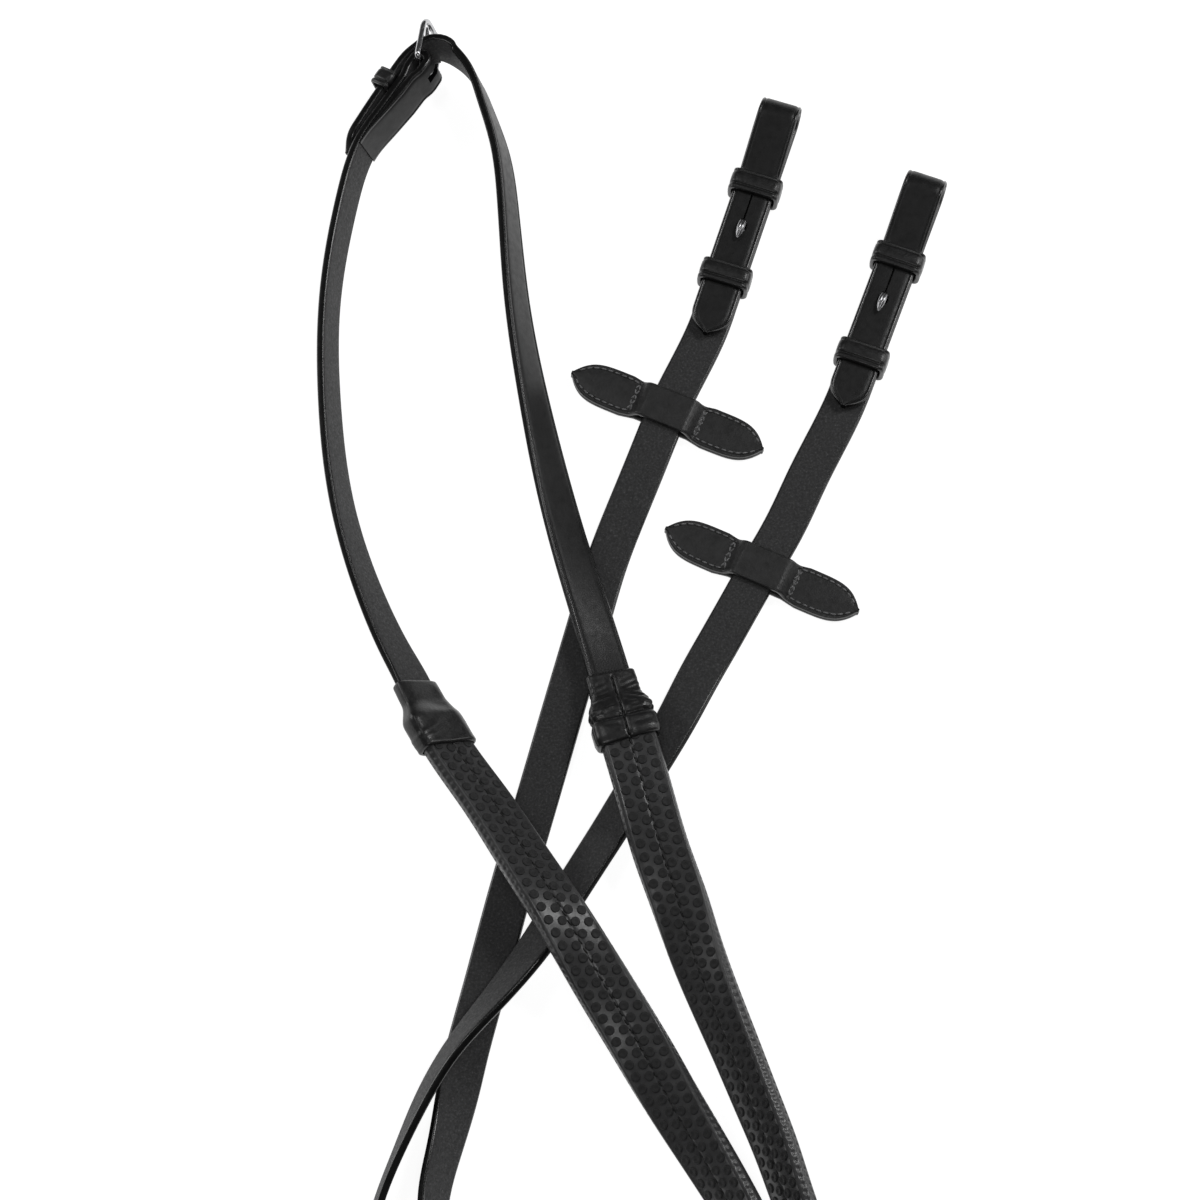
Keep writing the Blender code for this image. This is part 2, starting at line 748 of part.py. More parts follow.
def make_hook_stud(side, material):
    """Plate between the layers, rivet down through the strap, and a hook up through the slit."""
    heading = SIDES[side]["heading"]
    up = Vector((0, 0, 1))
    cross = up.cross(heading)
    top_of_strap = BILLET_HEIGHT + STRAP_THICKNESS / 2
    plate_height = top_of_strap + LAYER_GAP / 2
    hook_start = on_billet(side, STUD_DISTANCE, plate_height)
    plate = disc(hook_start, up, heading, PLATE_RADIUS, PLATE_THICKNESS, PLATE_STRETCH)
    stud = add_object(f"{side}_hook_stud", plate, material)
    rivet_foot = BILLET_HEIGHT - STRAP_THICKNESS / 2 - GAP - RIVET_END
    rivet_length = plate_height - rivet_foot
    rivet_middle = on_billet(side, STUD_DISTANCE, rivet_foot + rivet_length / 2)
    rivet = disc(rivet_middle, up, heading, RIVET_RADIUS, rivet_length)
    shape_with(stud, helper(f"{side}_rivet_shape", rivet), "UNION")
    rise = LAYER_GAP / 2 + STRAP_THICKNESS + HOOK_CLEARANCE
    moves = [(rise, 0), arc(*HOOK_BEND), (HOOK_REACH, 0)]
    path = planar_stations(hook_start, up, -heading, cross, moves)
    kept = path[:-1:2] + [path[-1]]
    hook = sweep(kept, lambda _: chamfered(*HOOK_SECTION))
    shape_with(stud, helper(f"{side}_hook_shape", hook), "UNION")


def make_stud_burr(side, material):
    """The washer that the stud is riveted over, under the strap."""
    up = Vector((0, 0, 1))
    heading = SIDES[side]["heading"]
    height = BILLET_HEIGHT - STRAP_THICKNESS / 2 - GAP - BURR_THICKNESS / 2
    middle = on_billet(side, STUD_DISTANCE, height)
    washer = disc(middle, up, heading, BURR_RADIUS, BURR_THICKNESS)
    burr = add_object(f"{side}_stud_burr", washer, material)
    bore = disc(middle, up, heading, RIVET_HOLE_RADIUS, CUT_DEPTH)
    shape_with(burr, helper(f"{side}_burr_bore", bore), "DIFFERENCE")


def cut_billet(side, strap):
    """The rivet hole in the standing layer, and the hole and slit for the hook."""
    up = Vector((0, 0, 1))
    heading = SIDES[side]["heading"]
    cross = up.cross(heading)
    standing = on_billet(side, STUD_DISTANCE, BILLET_HEIGHT)
    rivet = disc(standing, up, heading, RIVET_HOLE_RADIUS, CUT_DEPTH)
    shape_with(strap, helper(f"{side}_rivet_hole", rivet), "DIFFERENCE")
    over = BILLET_HEIGHT + STRAP_THICKNESS + LAYER_GAP
    upper = on_billet(side, STUD_DISTANCE, over)
    hole = disc(upper, up, heading, HOOK_HOLE_RADIUS, CUT_DEPTH, HOOK_HOLE_STRETCH)
    shape_with(strap, helper(f"{side}_hook_hole", hole), "DIFFERENCE")
    slit_middle = on_billet(side, STUD_DISTANCE - SLIT_LENGTH / 2, over)
    slit = block(slit_middle, (heading, cross, up), (SLIT_LENGTH, SLIT_WIDTH, CUT_DEPTH))
    shape_with(strap, helper(f"{side}_slit", slit), "DIFFERENCE")


# ---------------------------------------------------------------- rein stops

def stop_width(offset):
    """Width of a stop's wing at a distance from its middle."""
    end = STOP_LENGTH / 2
    offset = abs(offset)
    if offset <= STOP_BRIDGE_HALF:
        return STOP_BRIDGE_WIDTH
    if offset <= STOP_SHOULDER:
        share = (offset - STOP_BRIDGE_HALF) / (STOP_SHOULDER - STOP_BRIDGE_HALF)
        return STOP_BRIDGE_WIDTH + (STOP_WIDTH - STOP_BRIDGE_WIDTH) * share
    share = (offset - STOP_SHOULDER) / (end - STOP_SHOULDER)
    return max(STOP_WIDTH * (1 - share ** STOP_END_POWER), STOP_END_WIDTH)


def stop_frame(side):
    spec = SIDES[side]
    turn = Matrix.Rotation(spec["stop_skew"], 3, "Z")
    along = turn @ spec["stop_along"]
    side_way = along.cross(Vector((0, 0, 1)))
    return spec["stop_place"], along, side_way


def stop_stations(place, along, side_way, height, moves):
    """Stations from one pointed end of a stop layer to the other, evenly fine at the ends."""
    up = Vector((0, 0, 1))
    start = place - side_way * STOP_LENGTH / 2 + up * height
    fine = planar_stations(start, side_way, up, -along, moves, 0.5 * MM)
    kept = [fine[0]]
    for station in fine[1:-1]:
        offset = abs((station.point - place).dot(side_way))
        step = 1.2 * MM if offset > STOP_LENGTH / 2 - 4 * MM else 3.2 * MM
        turned = station.face.angle(kept[-1].face) > math.radians(14)
        if turned or (station.point - kept[-1].point).length >= step:
            kept.append(station)
    return kept + [fine[-1]]


def make_stop(side, material):
    place, along, side_way = stop_frame(side)

    def section_of(station):
        offset = (station.point - place).dot(side_way)
        return chamfered(stop_width(offset), STOP_LAYER, STOP_CHAMFER)

    base = stop_stations(place, along, side_way, STOP_LAYER / 2, [(STOP_LENGTH, 0)])
    add_object(f"{side}_stop_base", sweep(base, section_of), material, origin=place)

    low = STOP_LAYER * 1.5 + GAP
    high = BILLET_HEIGHT + STRAP_THICKNESS / 2 + 0.4 * MM + STOP_LAYER / 2
    turn, radius = STOP_STEP_TURN, STOP_STEP_RADIUS
    slant = (high - low - 2 * radius * (1 - math.cos(turn))) / math.sin(turn)
    step_run = 2 * radius * math.sin(turn) + slant * math.cos(turn)
    wing = STOP_LENGTH / 2 - STOP_FLAT - step_run
    moves = [(wing, 0), arc(radius, turn), (slant, 0), arc(radius, -turn), (2 * STOP_FLAT, 0),
             arc(radius, -turn), (slant, 0), arc(radius, turn), (wing, 0)]
    top = stop_stations(place, along, side_way, low, moves)
    add_object(f"{side}_stop_top", sweep(top, section_of), material, origin=place)


# ---------------------------------------------------------------- buckle

def make_buckle_frame(material):
    centre = BAR_CENTRE + FRAME_AXIS * FRAME_REACH / 2
    path = rounded_rectangle(centre, FRAME_AXIS, BAR_AXIS, FRAME_REACH / 2, FRAME_HALF_WIDTH,
                             FRAME_CORNERS, 5)
    tool = sweep_loop(path, lambda _: round_section(BAR_RADIUS))
    add_object("buckle_frame", tool, material, origin=BAR_CENTRE)


def make_buckle_tongue(material):
    """A shank that starts as an eye round the bar and rests beside the front of the frame."""
    eye_radius = BAR_RADIUS + GAP + TONGUE_EYE_WALL
    eye = disc(BAR_CENTRE, BAR_AXIS, FRAME_AXIS, eye_radius, TONGUE_WIDTH)
    tongue = add_object("buckle_tongue", eye, material, origin=BAR_CENTRE)
    root = BAR_CENTRE + FRAME_AXIS * TONGUE_ROOT
    point = BAR_CENTRE + FRAME_AXIS * (FRAME_REACH + TONGUE_OVERHANG) + FRAME_SIDE * TONGUE_OFFSET
    run = point - root
    direction = run.normalized()
    face = direction.cross(BAR_AXIS)
    stations = [Station(root + run * share, BAR_AXIS, face, share) for share in TONGUE_TAPER]

    def section_of(station):
        scale = TONGUE_TAPER[station.distance]
        return chamfered(TONGUE_WIDTH * scale, TONGUE_THICKNESS * scale, TONGUE_CHAMFER)

    shape_with(tongue, helper("tongue_shank_shape", sweep(stations, section_of)), "UNION")
    bore = disc(BAR_CENTRE, BAR_AXIS, FRAME_AXIS, BAR_RADIUS + GAP, TONGUE_WIDTH * 2)
    shape_with(tongue, helper("tongue_bore", bore), "DIFFERENCE")


def cut_fold(strap):
    """The slot through the fold that lets the tongue's eye sit on the bar."""
    axes = (FOLD_AXIS, OUT_AXIS, BAR_AXIS)
    slot = block(at_buckle(TONGUE_SLOT_MIDDLE, 0), axes, TONGUE_SLOT)
    shape_with(strap, helper("tongue_slot", slot), "DIFFERENCE")


def cut_tip(strap):
    """The oval hole that the tongue is in, and a spare hole nearer the tip."""
    middle = BAR_CENTRE + FRAME_AXIS * USED_HOLE[0] + FRAME_SIDE * USED_HOLE[1]
    used = disc(middle, FRAME_AXIS, FRAME_SIDE, USED_HOLE_RADIUS, TIP_HOLE_DEPTH, USED_HOLE_STRETCH)
    shape_with(strap, helper("used_hole", used), "DIFFERENCE")
    spare = disc(at_buckle(*SPARE_HOLE), OUT_AXIS, FOLD_AXIS, SPARE_HOLE_RADIUS, TIP_HOLE_DEPTH)
    shape_with(strap, helper("spare_hole", spare), "DIFFERENCE")


def make_buckle_keeper(material):
    along, out = TIP_ROUTE[3]
    centre = at_buckle(along * MM, out * MM + (BUCKLE_KEEPER_PLAY - KEEPER_SLACK) / 2)
    wall = BUCKLE_KEEPER_WALL
    half_rise = (STRAP_THICKNESS + KEEPER_SLACK + BUCKLE_KEEPER_PLAY + wall) / 2
    half_side = STRAP_WIDTH / 2 + KEEPER_SLACK + wall / 2
    corners = (BUCKLE_KEEPER_CORNER, BUCKLE_KEEPER_CORNER)
    path = rounded_rectangle(centre, BAR_AXIS, OUT_AXIS, half_side, half_rise, corners, 4)
    tool = sweep_loop(path, lambda _: chamfered(BUCKLE_KEEPER_BAND, wall, BUCKLE_KEEPER_CHAMFER))
    add_object("buckle_keeper", tool, material)


# ---------------------------------------------------------------- the whole

def build_half(side, dense, materials):
    upper, lower = marks(side)[1:]
    stations = thin_out(dense, sleeve_marks(side) + taper_marks(dense) + [seat_mark(dense)])
    strap = make_strap(side, stations, materials["leather"])
    make_grip(side, stations, materials["rubber"])
    make_sleeve(f"{side}_upper_sleeve", stations, *upper, materials["trim"])
    make_sleeve(f"{side}_lower_sleeve", stations, lower[1], lower[0], materials["trim"])
    for place, distance in zip(("upper", "lower"), SIDES[side]["keepers"]):
        make_billet_keeper(f"{side}_billet_{place}_keeper", side, distance, materials["trim"])
    make_hook_stud(side, materials["steel"])
    make_stud_burr(side, materials["steel"])
    cut_billet(side, strap)
    make_stop(side, materials["trim"])
    return strap


def main():
    clear_scene()
    materials = make_materials()
    left = left_stations()
    right = right_stations()
    left_strap = build_half("left", left, materials)
    right_strap = build_half("right", right, materials)
    cut_fold(left_strap)
    cut_tip(right_strap)
    make_buckle_frame(materials["steel"])
    make_buckle_tongue(materials["steel"])
    make_buckle_keeper(materials["trim"])


main()
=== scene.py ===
import math
from collections import namedtuple

import bmesh
import bpy
import numpy as np
from mathutils import Matrix, Vector


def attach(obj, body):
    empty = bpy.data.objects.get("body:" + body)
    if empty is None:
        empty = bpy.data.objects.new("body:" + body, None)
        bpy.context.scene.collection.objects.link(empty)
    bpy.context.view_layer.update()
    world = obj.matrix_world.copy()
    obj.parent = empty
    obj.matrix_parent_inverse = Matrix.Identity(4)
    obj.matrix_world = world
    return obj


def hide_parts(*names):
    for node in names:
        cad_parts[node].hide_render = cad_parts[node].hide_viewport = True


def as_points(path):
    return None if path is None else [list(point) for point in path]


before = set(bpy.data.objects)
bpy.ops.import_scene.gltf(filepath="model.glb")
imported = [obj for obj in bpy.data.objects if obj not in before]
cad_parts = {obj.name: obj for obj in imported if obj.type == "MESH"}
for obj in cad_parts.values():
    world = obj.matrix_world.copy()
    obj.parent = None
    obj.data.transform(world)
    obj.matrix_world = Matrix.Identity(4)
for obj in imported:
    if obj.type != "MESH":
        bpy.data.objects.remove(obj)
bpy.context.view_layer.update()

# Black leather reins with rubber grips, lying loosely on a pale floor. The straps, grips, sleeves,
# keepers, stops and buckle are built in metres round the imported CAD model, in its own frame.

MM = 0.001
GAP = 0.3 * MM

# Leather straps
STRAP_WIDTH = 16 * MM
STRAP_THICKNESS = 3.2 * MM
GRIP_LENGTH = 500 * MM

# Rubber grips and the thin leather sleeves over their ends
GRIP_WIDTH = 21.5 * MM
GRIP_THICKNESS = 6.5 * MM
CORE_CLEARANCE = 0.4 * MM
SLEEVE_WALL = 1.1 * MM
SLEEVE_ON_STRAP = 17 * MM
SLEEVE_ON_GRIP = 12 * MM

# Billets: distances are measured back along the strap from the front of the bit loop
BILLET_HEIGHT = 3.7 * MM
LAYER_GAP = 1.2 * MM
BIT_LOOP_RADIUS = 6.2 * MM
BIT_LOOP_TURN = math.radians(200)
BIT_LOOP_EASE = 8 * MM
BILLET_START = 88 * MM
TIP_DISTANCE = 103 * MM
TIP_LENGTH = 11.5 * MM
TIP_POWER = 3.2
TIP_END_SHARE = 0.12
STUD_DISTANCE = 54.5 * MM

# Keepers
KEEPER_BAND = 9.0 * MM
BUCKLE_KEEPER_BAND = 7.6 * MM
KEEPER_WALL = 1.8 * MM
BUCKLE_KEEPER_WALL = 1.3 * MM
BUCKLE_KEEPER_PLAY = 2.2 * MM
KEEPER_SLACK = 0.4 * MM

# Rein stops
STOP_LENGTH = 80.5 * MM
STOP_WIDTH = 16.6 * MM
STOP_BRIDGE_WIDTH = 14.4 * MM
STOP_LAYER = 1.8 * MM
STOP_STEP_TURN = math.radians(46)
STOP_STEP_RADIUS = 3.0 * MM
STOP_FLAT = 8.2 * MM

# Buckle: bar centre, bar direction, and the directions of the folded strap and of the frame
BAR_CENTRE = Vector((-82.7, 300.3, 13.8)) * MM
BAR_AXIS = Vector((-0.28, 0.12, 0.9525)).normalized()
FOLD_GUESS = Vector((0.57, 0.82, 0))
FRAME_GUESS = Vector((0.12, 0.99, 0))
BAR_RADIUS = 1.15 * MM
FRAME_REACH = 18.5 * MM
FRAME_HALF_WIDTH = 9.9 * MM
FOLD_RADIUS = 3.1 * MM
FOLD_LAYER = 1.75 * MM
FOLD_EASE = 10 * MM
FOLD_RUN = 10 * MM
TURNED_BACK = 42 * MM
PARED_LENGTH = 26 * MM
PARED_END = 0.35 * MM
FLAP_DROP = 0.2 * MM
TIP_BORDER = 3.2 * MM
TONGUE_WIDTH = 2.4 * MM
TONGUE_THICKNESS = 2.0 * MM
TONGUE_OFFSET = 2.6 * MM

# Routes, as points (x, y, z in millimetres, roll in degrees). Roll 0 lays the strap
# flat with its front face up, and a positive roll turns the front face to the left of travel.
LEFT_ROUTE = [
    (-112.5, 245.7, 9.4, 72),
    (-118.4, 203.0, 8.4, 72),
    (-117.6, 161.0, 8.2, 68),
    (-112.1, 119.7, 8.0, 63),
    (-99.5, 79.2, 7.6, 53),
    (-90.4, 59.1, 7.9, 46),
    (-85.0, 48.7, 9.2, 42),
    (-80.1, 38.1, 11.3, 40),
    (-69.9, 19.2, 12.0, 38),
    (-55.8, -1.8, 14.2, 35),
    (-43.4, -22.0, 17.5, 30),
    (-29.7, -44.4, 20.5, 22),
    (-12.2, -72.2, 13.5, 2),
    (1.9, -94.5, 7.8, -10),
    (12.5, -113.1, 8.4, -27),
    (23.5, -131.7, 9.8, -40),
    (34.0, -149.6, 10.6, -50),
    (45.5, -172.0, 11.0, -62),
    (53.5, -201.0, 11.2, -78),
    (53.0, -234.0, 11.2, -90),
    (42.0, -267.0, 11.2, -90),
    (20.0, -294.0, 11.2, -90),
    (-9.5, -308.5, 11.2, -90),
    (-40.5, -306.0, 11.2, -90),
    (-65.5, -287.0, 12.3, -90),
    (-76.5, -260.0, 12.5, -90),
    (-71.0, -234.0, 10.4, -90),
    (-59.5, -211.0, 8.4, -88),
    (-62.0, -188.5, 8.4, -76),
    (-71.5, -167.0, 8.3, -64),
    (-73.1, -149.1, 7.8, -55),
    (-69.6, -131.2, 7.2, -47),
    (-65.6, -112.4, 5.2, -26),
    (-61.7, -93.0, 2.4, -4),
    (-57.0, -74.4, 1.9, -1),
    (-47.5, -36.6, 1.8, 0),
    (-37.0, 2.0, 1.8, 0),
    (-26.3, 41.3, 1.8, 0),
    (-15.8, 79.3, 1.8, 0),
    (-11.0, 96.2, 1.8, 0),
    (-3.9, 115.6, 2.8, 0),
    (4.4, 136.9, 3.7, 0),
    (14.7, 163.0, 3.7, 0),
]
RIGHT_ROUTE = [
    (-73.3, 308.3, 13.4, 92),
    (-68.9, 304.9, 12.8, 85),
    (-63.3, 297.7, 11.6, 79),
    (-59.3, 287.9, 10.4, 75),
    (-52.9, 267.5, 9.0, 70),
    (-49.8, 245.9, 8.4, 67),
    (-45.8, 203.1, 8.1, 59),
    (-38.9, 161.3, 7.5, 48),
    (-29.9, 119.9, 7.4, 33),
    (-23.4, 95.1, 8.4, 26),
    (-18.0, 76.7, 9.0, 20),
    (-9.8, 48.1, 9.8, 10),
    (-2.7, 21.4, 13.4, 4),
    (2.4, 2.8, 14.4, 3),
    (9.0, -20.7, 12.2, -1),
    (15.4, -38.4, 9.2, -12),
    (21.5, -57.2, 8.4, -28),
    (28.4, -76.3, 9.6, -40),
    (35.8, -95.2, 10.4, -48),
    (42.9, -113.7, 10.8, -53),
    (49.8, -132.0, 11.1, -57),
    (55.6, -149.8, 11.2, -61),
    (64.0, -175.0, 11.3, -68),
    (68.0, -210.0, 11.3, -80),
    (66.0, -243.0, 11.2, -90),
    (54.5, -276.0, 11.2, -90),
    (33.0, -302.5, 11.2, -90),
    (2.5, -317.5, 11.2, -90),
    (-30.5, -317.5, 11.2, -90),
    (-60.0, -305.0, 11.5, -90),
    (-83.0, -281.0, 12.6, -90),
    (-95.5, -252.0, 12.3, -90),
    (-100.5, -216.0, 9.0, -94),
    (-98.5, -182.0, 8.6, -98),
    (-92.3, -149.2, 8.5, -100),
    (-85.6, -131.5, 8.9, -103),
    (-77.8, -113.8, 10.3, -110),
    (-67.9, -97.4, 14.6, -116),
    (-54.5, -80.2, 14.2, -126),
    (-36.5, -55.1, 9.7, -141),
    (-23.1, -32.7, 7.2, -147),
    (-9.4, -9.9, 5.5, -150),
    (3.3, 11.7, 4.9, -156),
    (15.4, 33.4, 4.2, -164),
    (24.1, 50.6, 3.7, -174),
    (29.9, 61.2, 3.7, -180),
    (38.9, 77.7, 3.7, -180),
    (48.0, 94.3, 3.7, -180),
    (57.1, 110.9, 3.7, -180),
    (66.6, 131.6, 3.7, -180),
]

# The tip strap beyond the buckle: distance along the fold and out from the bar, in millimetres
TIP_ROUTE = [
    (-46, 5.4),
    (-30, 6.5),
    (-20, 7.0),
    (-13.5, 7.1),
    (-7, 7.2),
    (-1.5, 7.1),
    (6.2, 4.9),
    (10.9, -0.2),
]
TIP_ROLLS = [107, 107, 107, 107, 107, 107, 103, 99]

SIDES = {
    "left": {
        "face_up": 1,
        "grip_start": 293 * MM,
        "loop_front": Vector((58.85, 286.95, 0)) * MM,
        "heading": Vector((0.3060, 0.9520, 0)).normalized(),
        "keepers": (36.8 * MM, 77.1 * MM),
        "stop_place": Vector((12.4, 158.5, 0)) * MM,
        "stop_along": Vector((30.9, 78.1, 0)).normalized(),
        "stop_skew": math.radians(-2),
    },
    "right": {
        "face_up": -1,
        "grip_start": 296.5 * MM,
        "loop_front": Vector((115.4, 254.95, 0)) * MM,
        "heading": Vector((0.3437, 0.9391, 0)).normalized(),
        "keepers": (36.8 * MM, 80.5 * MM),
        "stop_place": Vector((48.0, 93.2, 0)) * MM,
        "stop_along": Vector((27.2, 49.7, 0)).normalized(),
        "stop_skew": math.radians(4),
    },
}

Station = namedtuple("Station", "point across face distance")


# ---------------------------------------------------------------- paths

def smooth_curve(rows):
    """A natural cubic spline through rows of numbers, as (function of distance, end distance)."""
    rows = np.array(rows, dtype=float)
    chords = np.linalg.norm(np.diff(rows[:, :3], axis=0), axis=1)
    knots = np.concatenate([[0.0], np.cumsum(chords)])
    count = len(rows)
    system = np.zeros((count, count))
    target = np.zeros_like(rows)
    system[0, 0] = system[-1, -1] = 1
    for i in range(1, count - 1):
        system[i, i - 1] = chords[i - 1]
        system[i, i] = 2 * (chords[i - 1] + chords[i])
        system[i, i + 1] = chords[i]
        slope_after = (rows[i + 1] - rows[i]) / chords[i]
        slope_before = (rows[i] - rows[i - 1]) / chords[i - 1]
        target[i] = 6 * (slope_after - slope_before)
    bend = np.linalg.solve(system, target)

    def at(distance):
        i = min(max(int(np.searchsorted(knots, distance)) - 1, 0), count - 2)
        span = chords[i]
        after = (distance - knots[i]) / span
        before = 1 - after
        curved = (before ** 3 - before) * bend[i] + (after ** 3 - after) * bend[i + 1]
        return before * rows[i] + after * rows[i + 1] + curved * span ** 2 / 6

    return at, knots[-1]


def route_stations(rows, step=1 * MM):
    """Closely spaced stations along a strap's route."""
    at, total = smooth_curve(rows)
    count = int(total / step)
    samples = [at(total * i / count) for i in range(count + 1)]
    points = [Vector(sample[:3]) for sample in samples]
    stations = []
    for i, sample in enumerate(samples):
        travel = (points[min(i + 1, count)] - points[max(i - 1, 0)]).normalized()
        left = Vector((0, 0, 1)).cross(travel).normalized()
        above = travel.cross(left)
        roll = math.radians(sample[3])
        across = left * math.cos(roll) - above * math.sin(roll)
        face = above * math.cos(roll) + left * math.sin(roll)
        stations.append(Station(points[i], across, face, 0))
    return stations


def planar_stations(start, forward, up, across, moves, step=1 * MM):
    """Stations along lines and arcs in one plane. A move is (length, turn in radians)."""
    stations = []
    point, heading = start.copy(), 0.0
    for length, turn in moves:
        count = max(1, math.ceil(length / step))
        for _ in range(count):
            travel = forward * math.cos(heading) + up * math.sin(heading)
            stations.append(Station(point.copy(), across, travel.cross(across), 0))
            middle = heading + turn / count / 2
            point = point + (forward * math.cos(middle) + up * math.sin(middle)) * (length / count)
            heading += turn / count
    travel = forward * math.cos(heading) + up * math.sin(heading)
    stations.append(Station(point, across, travel.cross(across), 0))
    return stations


def arc(radius, turn):
    return (radius * abs(turn), turn)


def measured(stations, zero=0):
    """Give each station its distance along the strap, counted from station number zero."""
    distances = [0.0]
    for before, after in zip(stations, stations[1:]):
        distances.append(distances[-1] + (after.point - before.point).length)
    return [s._replace(distance=d - distances[zero]) for s, d in zip(stations, distances)]


def between(stations, start, end):
    return [s for s in stations if start - 0.1 * MM <= s.distance <= end + 1.1 * MM]


# ---------------------------------------------------------------- buckle frame of reference

def square_to(axis, guess):
    return (guess - axis * guess.dot(axis)).normalized()


FOLD_AXIS = square_to(BAR_AXIS, FOLD_GUESS)
OUT_AXIS = BAR_AXIS.cross(FOLD_AXIS)
FRAME_AXIS = square_to(BAR_AXIS, FRAME_GUESS)
FRAME_SIDE = BAR_AXIS.cross(FRAME_AXIS)


def at_buckle(along, out, up=0.0):
    return BAR_CENTRE + FOLD_AXIS * along + OUT_AXIS * out + BAR_AXIS * up


def roll_along_bar(travel):
    """The roll that turns a strap's width to run down the buckle bar."""
    left = Vector((0, 0, 1)).cross(travel).normalized()
    above = travel.cross(left)
    return math.degrees(math.atan2(BAR_AXIS.dot(above), -BAR_AXIS.dot(left)))


def route_row(point, roll):
    return (*point, roll)


def in_metres(rows):
    return [(x * MM, y * MM, z * MM, roll) for x, y, z, roll in rows]


# ---------------------------------------------------------------- strap layouts

def fold_moves():
    """Round the buckle bar from both sides, drawing in until the two layers nearly touch."""
    sway = math.acos(1 - (FOLD_RADIUS - FOLD_LAYER) / 2 / FOLD_EASE)
    straight = FOLD_RUN - 2 * FOLD_EASE * math.sin(sway)
    out = [arc(FOLD_EASE, -sway), arc(FOLD_EASE, sway), (straight, 0)]
    back = [(straight, 0), arc(FOLD_EASE, sway), arc(FOLD_EASE, -sway)]
    return out + [arc(FOLD_RADIUS, math.pi)] + back


def bit_loop_moves():
    """Forward along the billet, round the bit ring and back over the standing layer."""
    radius, turn, ease = BIT_LOOP_RADIUS, BIT_LOOP_TURN, BIT_LOOP_EASE
    slope = turn - math.pi
    lift = STRAP_THICKNESS + LAYER_GAP
    drop = radius * (1 - math.cos(turn)) - ease * (1 - math.cos(slope)) - lift
    slant = drop / math.sin(slope)
    forward = BILLET_START - radius - STRAP_THICKNESS / 2
    back_run = radius * math.sin(slope) + slant * math.cos(slope) + ease * math.sin(slope)
    reach = TIP_DISTANCE - radius - STRAP_THICKNESS / 2
    return [(forward, 0), arc(radius, turn), (slant, 0), arc(ease, -slope), (reach - back_run, 0)]


def billet_stations(side):
    spec = SIDES[side]
    heading = spec["heading"]
    up = Vector((0, 0, 1))
    start = spec["loop_front"] - heading * BILLET_START + up * BILLET_HEIGHT
    across = up.cross(heading) * spec["face_up"]
    return planar_stations(start, heading, up, across, bit_loop_moves())


def billet_lead_in(side, roll):
    """Two points that bring a route straight into its billet."""
    spec = SIDES[side]
    rows = []
    for distance in (BILLET_START + 8 * MM, BILLET_START):
        point = spec["loop_front"] - spec["heading"] * distance
        rows.append((point.x, point.y, BILLET_HEIGHT, roll))
    return rows


def marks(side):
    """Distances from the buckle at which the grip and its sleeves start and end."""
    grip = (SIDES[side]["grip_start"], SIDES[side]["grip_start"] + GRIP_LENGTH)
    upper = (grip[0] - SLEEVE_ON_STRAP, grip[0] + SLEEVE_ON_GRIP)
    lower = (grip[1] - SLEEVE_ON_GRIP, grip[1] + SLEEVE_ON_STRAP)
    return grip, upper, lower


def left_stations():
    """The turned-back layer, the fold round the bar, the long run, and the billet."""
    fold_start = at_buckle(-FOLD_RUN, -FOLD_LAYER)
    fold = planar_stations(fold_start, FOLD_AXIS, OUT_AXIS, -BAR_AXIS, fold_moves())
    ahead = [at_buckle(-FOLD_RUN + step, FOLD_LAYER) for step in (0, -9 * MM, -18 * MM, -26 * MM)]
    rolls = [roll_along_bar(-FOLD_AXIS)] * len(ahead)
    lead = [route_row(point, roll) for point, roll in zip(ahead, rolls)]
    route = route_stations(lead + in_metres(LEFT_ROUTE) + billet_lead_in("left", 0))
    under = [s for s in route[:80] if (s.point - route[0].point).length < TURNED_BACK - FOLD_RUN]
    turned = [Station(s.point + s.face * 2 * FOLD_LAYER, s.across, -s.face, 0) for s in under[:0:-1]]
    start = turned + fold[:-1]
    bar = max(range(len(start)), key=lambda i: (start[i].point - BAR_CENTRE).dot(FOLD_AXIS))
    return measured(start + route[:-1] + billet_stations("left"), bar)


def right_stations():
    tip = [route_row(at_buckle(a * MM, o * MM), roll) for (a, o), roll in zip(TIP_ROUTE, TIP_ROLLS)]
    route = route_stations(tip + in_metres(RIGHT_ROUTE) + billet_lead_in("right", -180))
    stations = route[:-1] + billet_stations("right")
    buckle = min(range(90), key=lambda i: (stations[i].point - BAR_CENTRE - FRAME_AXIS * 7.6 * MM).length)
    return measured(stations, buckle)



# ---------------------------------------------------------------- camera, floor and light

VIEW_TARGET = Vector((-0.0135, 0.0820, 0))
VIEW_ELEVATION = math.radians(70)
VIEW_DISTANCE = 1.5
LENS = 118.4


def make_camera():
    data = bpy.data.cameras.new("camera")
    data.sensor_width = 36
    data.lens = LENS
    camera = bpy.data.objects.new("camera", data)
    back = Vector((0, -math.cos(VIEW_ELEVATION), math.sin(VIEW_ELEVATION)))
    camera.location = VIEW_TARGET + back * VIEW_DISTANCE
    camera.rotation_mode = "QUATERNION"
    camera.rotation_quaternion = (-back).to_track_quat("-Z", "Y")
    bpy.context.collection.objects.link(camera)
    bpy.context.scene.camera = camera


def soft_box(name, direction, distance, size, power):
    data = bpy.data.lights.new(name, "AREA")
    data.shape = "DISK"
    data.size = size
    data.energy = power
    light = bpy.data.objects.new(name, data)
    toward = Vector(direction).normalized()
    light.location = VIEW_TARGET + toward * distance
    light.rotation_mode = "QUATERNION"
    light.rotation_quaternion = (-toward).to_track_quat("-Z", "Y")
    bpy.context.collection.objects.link(light)


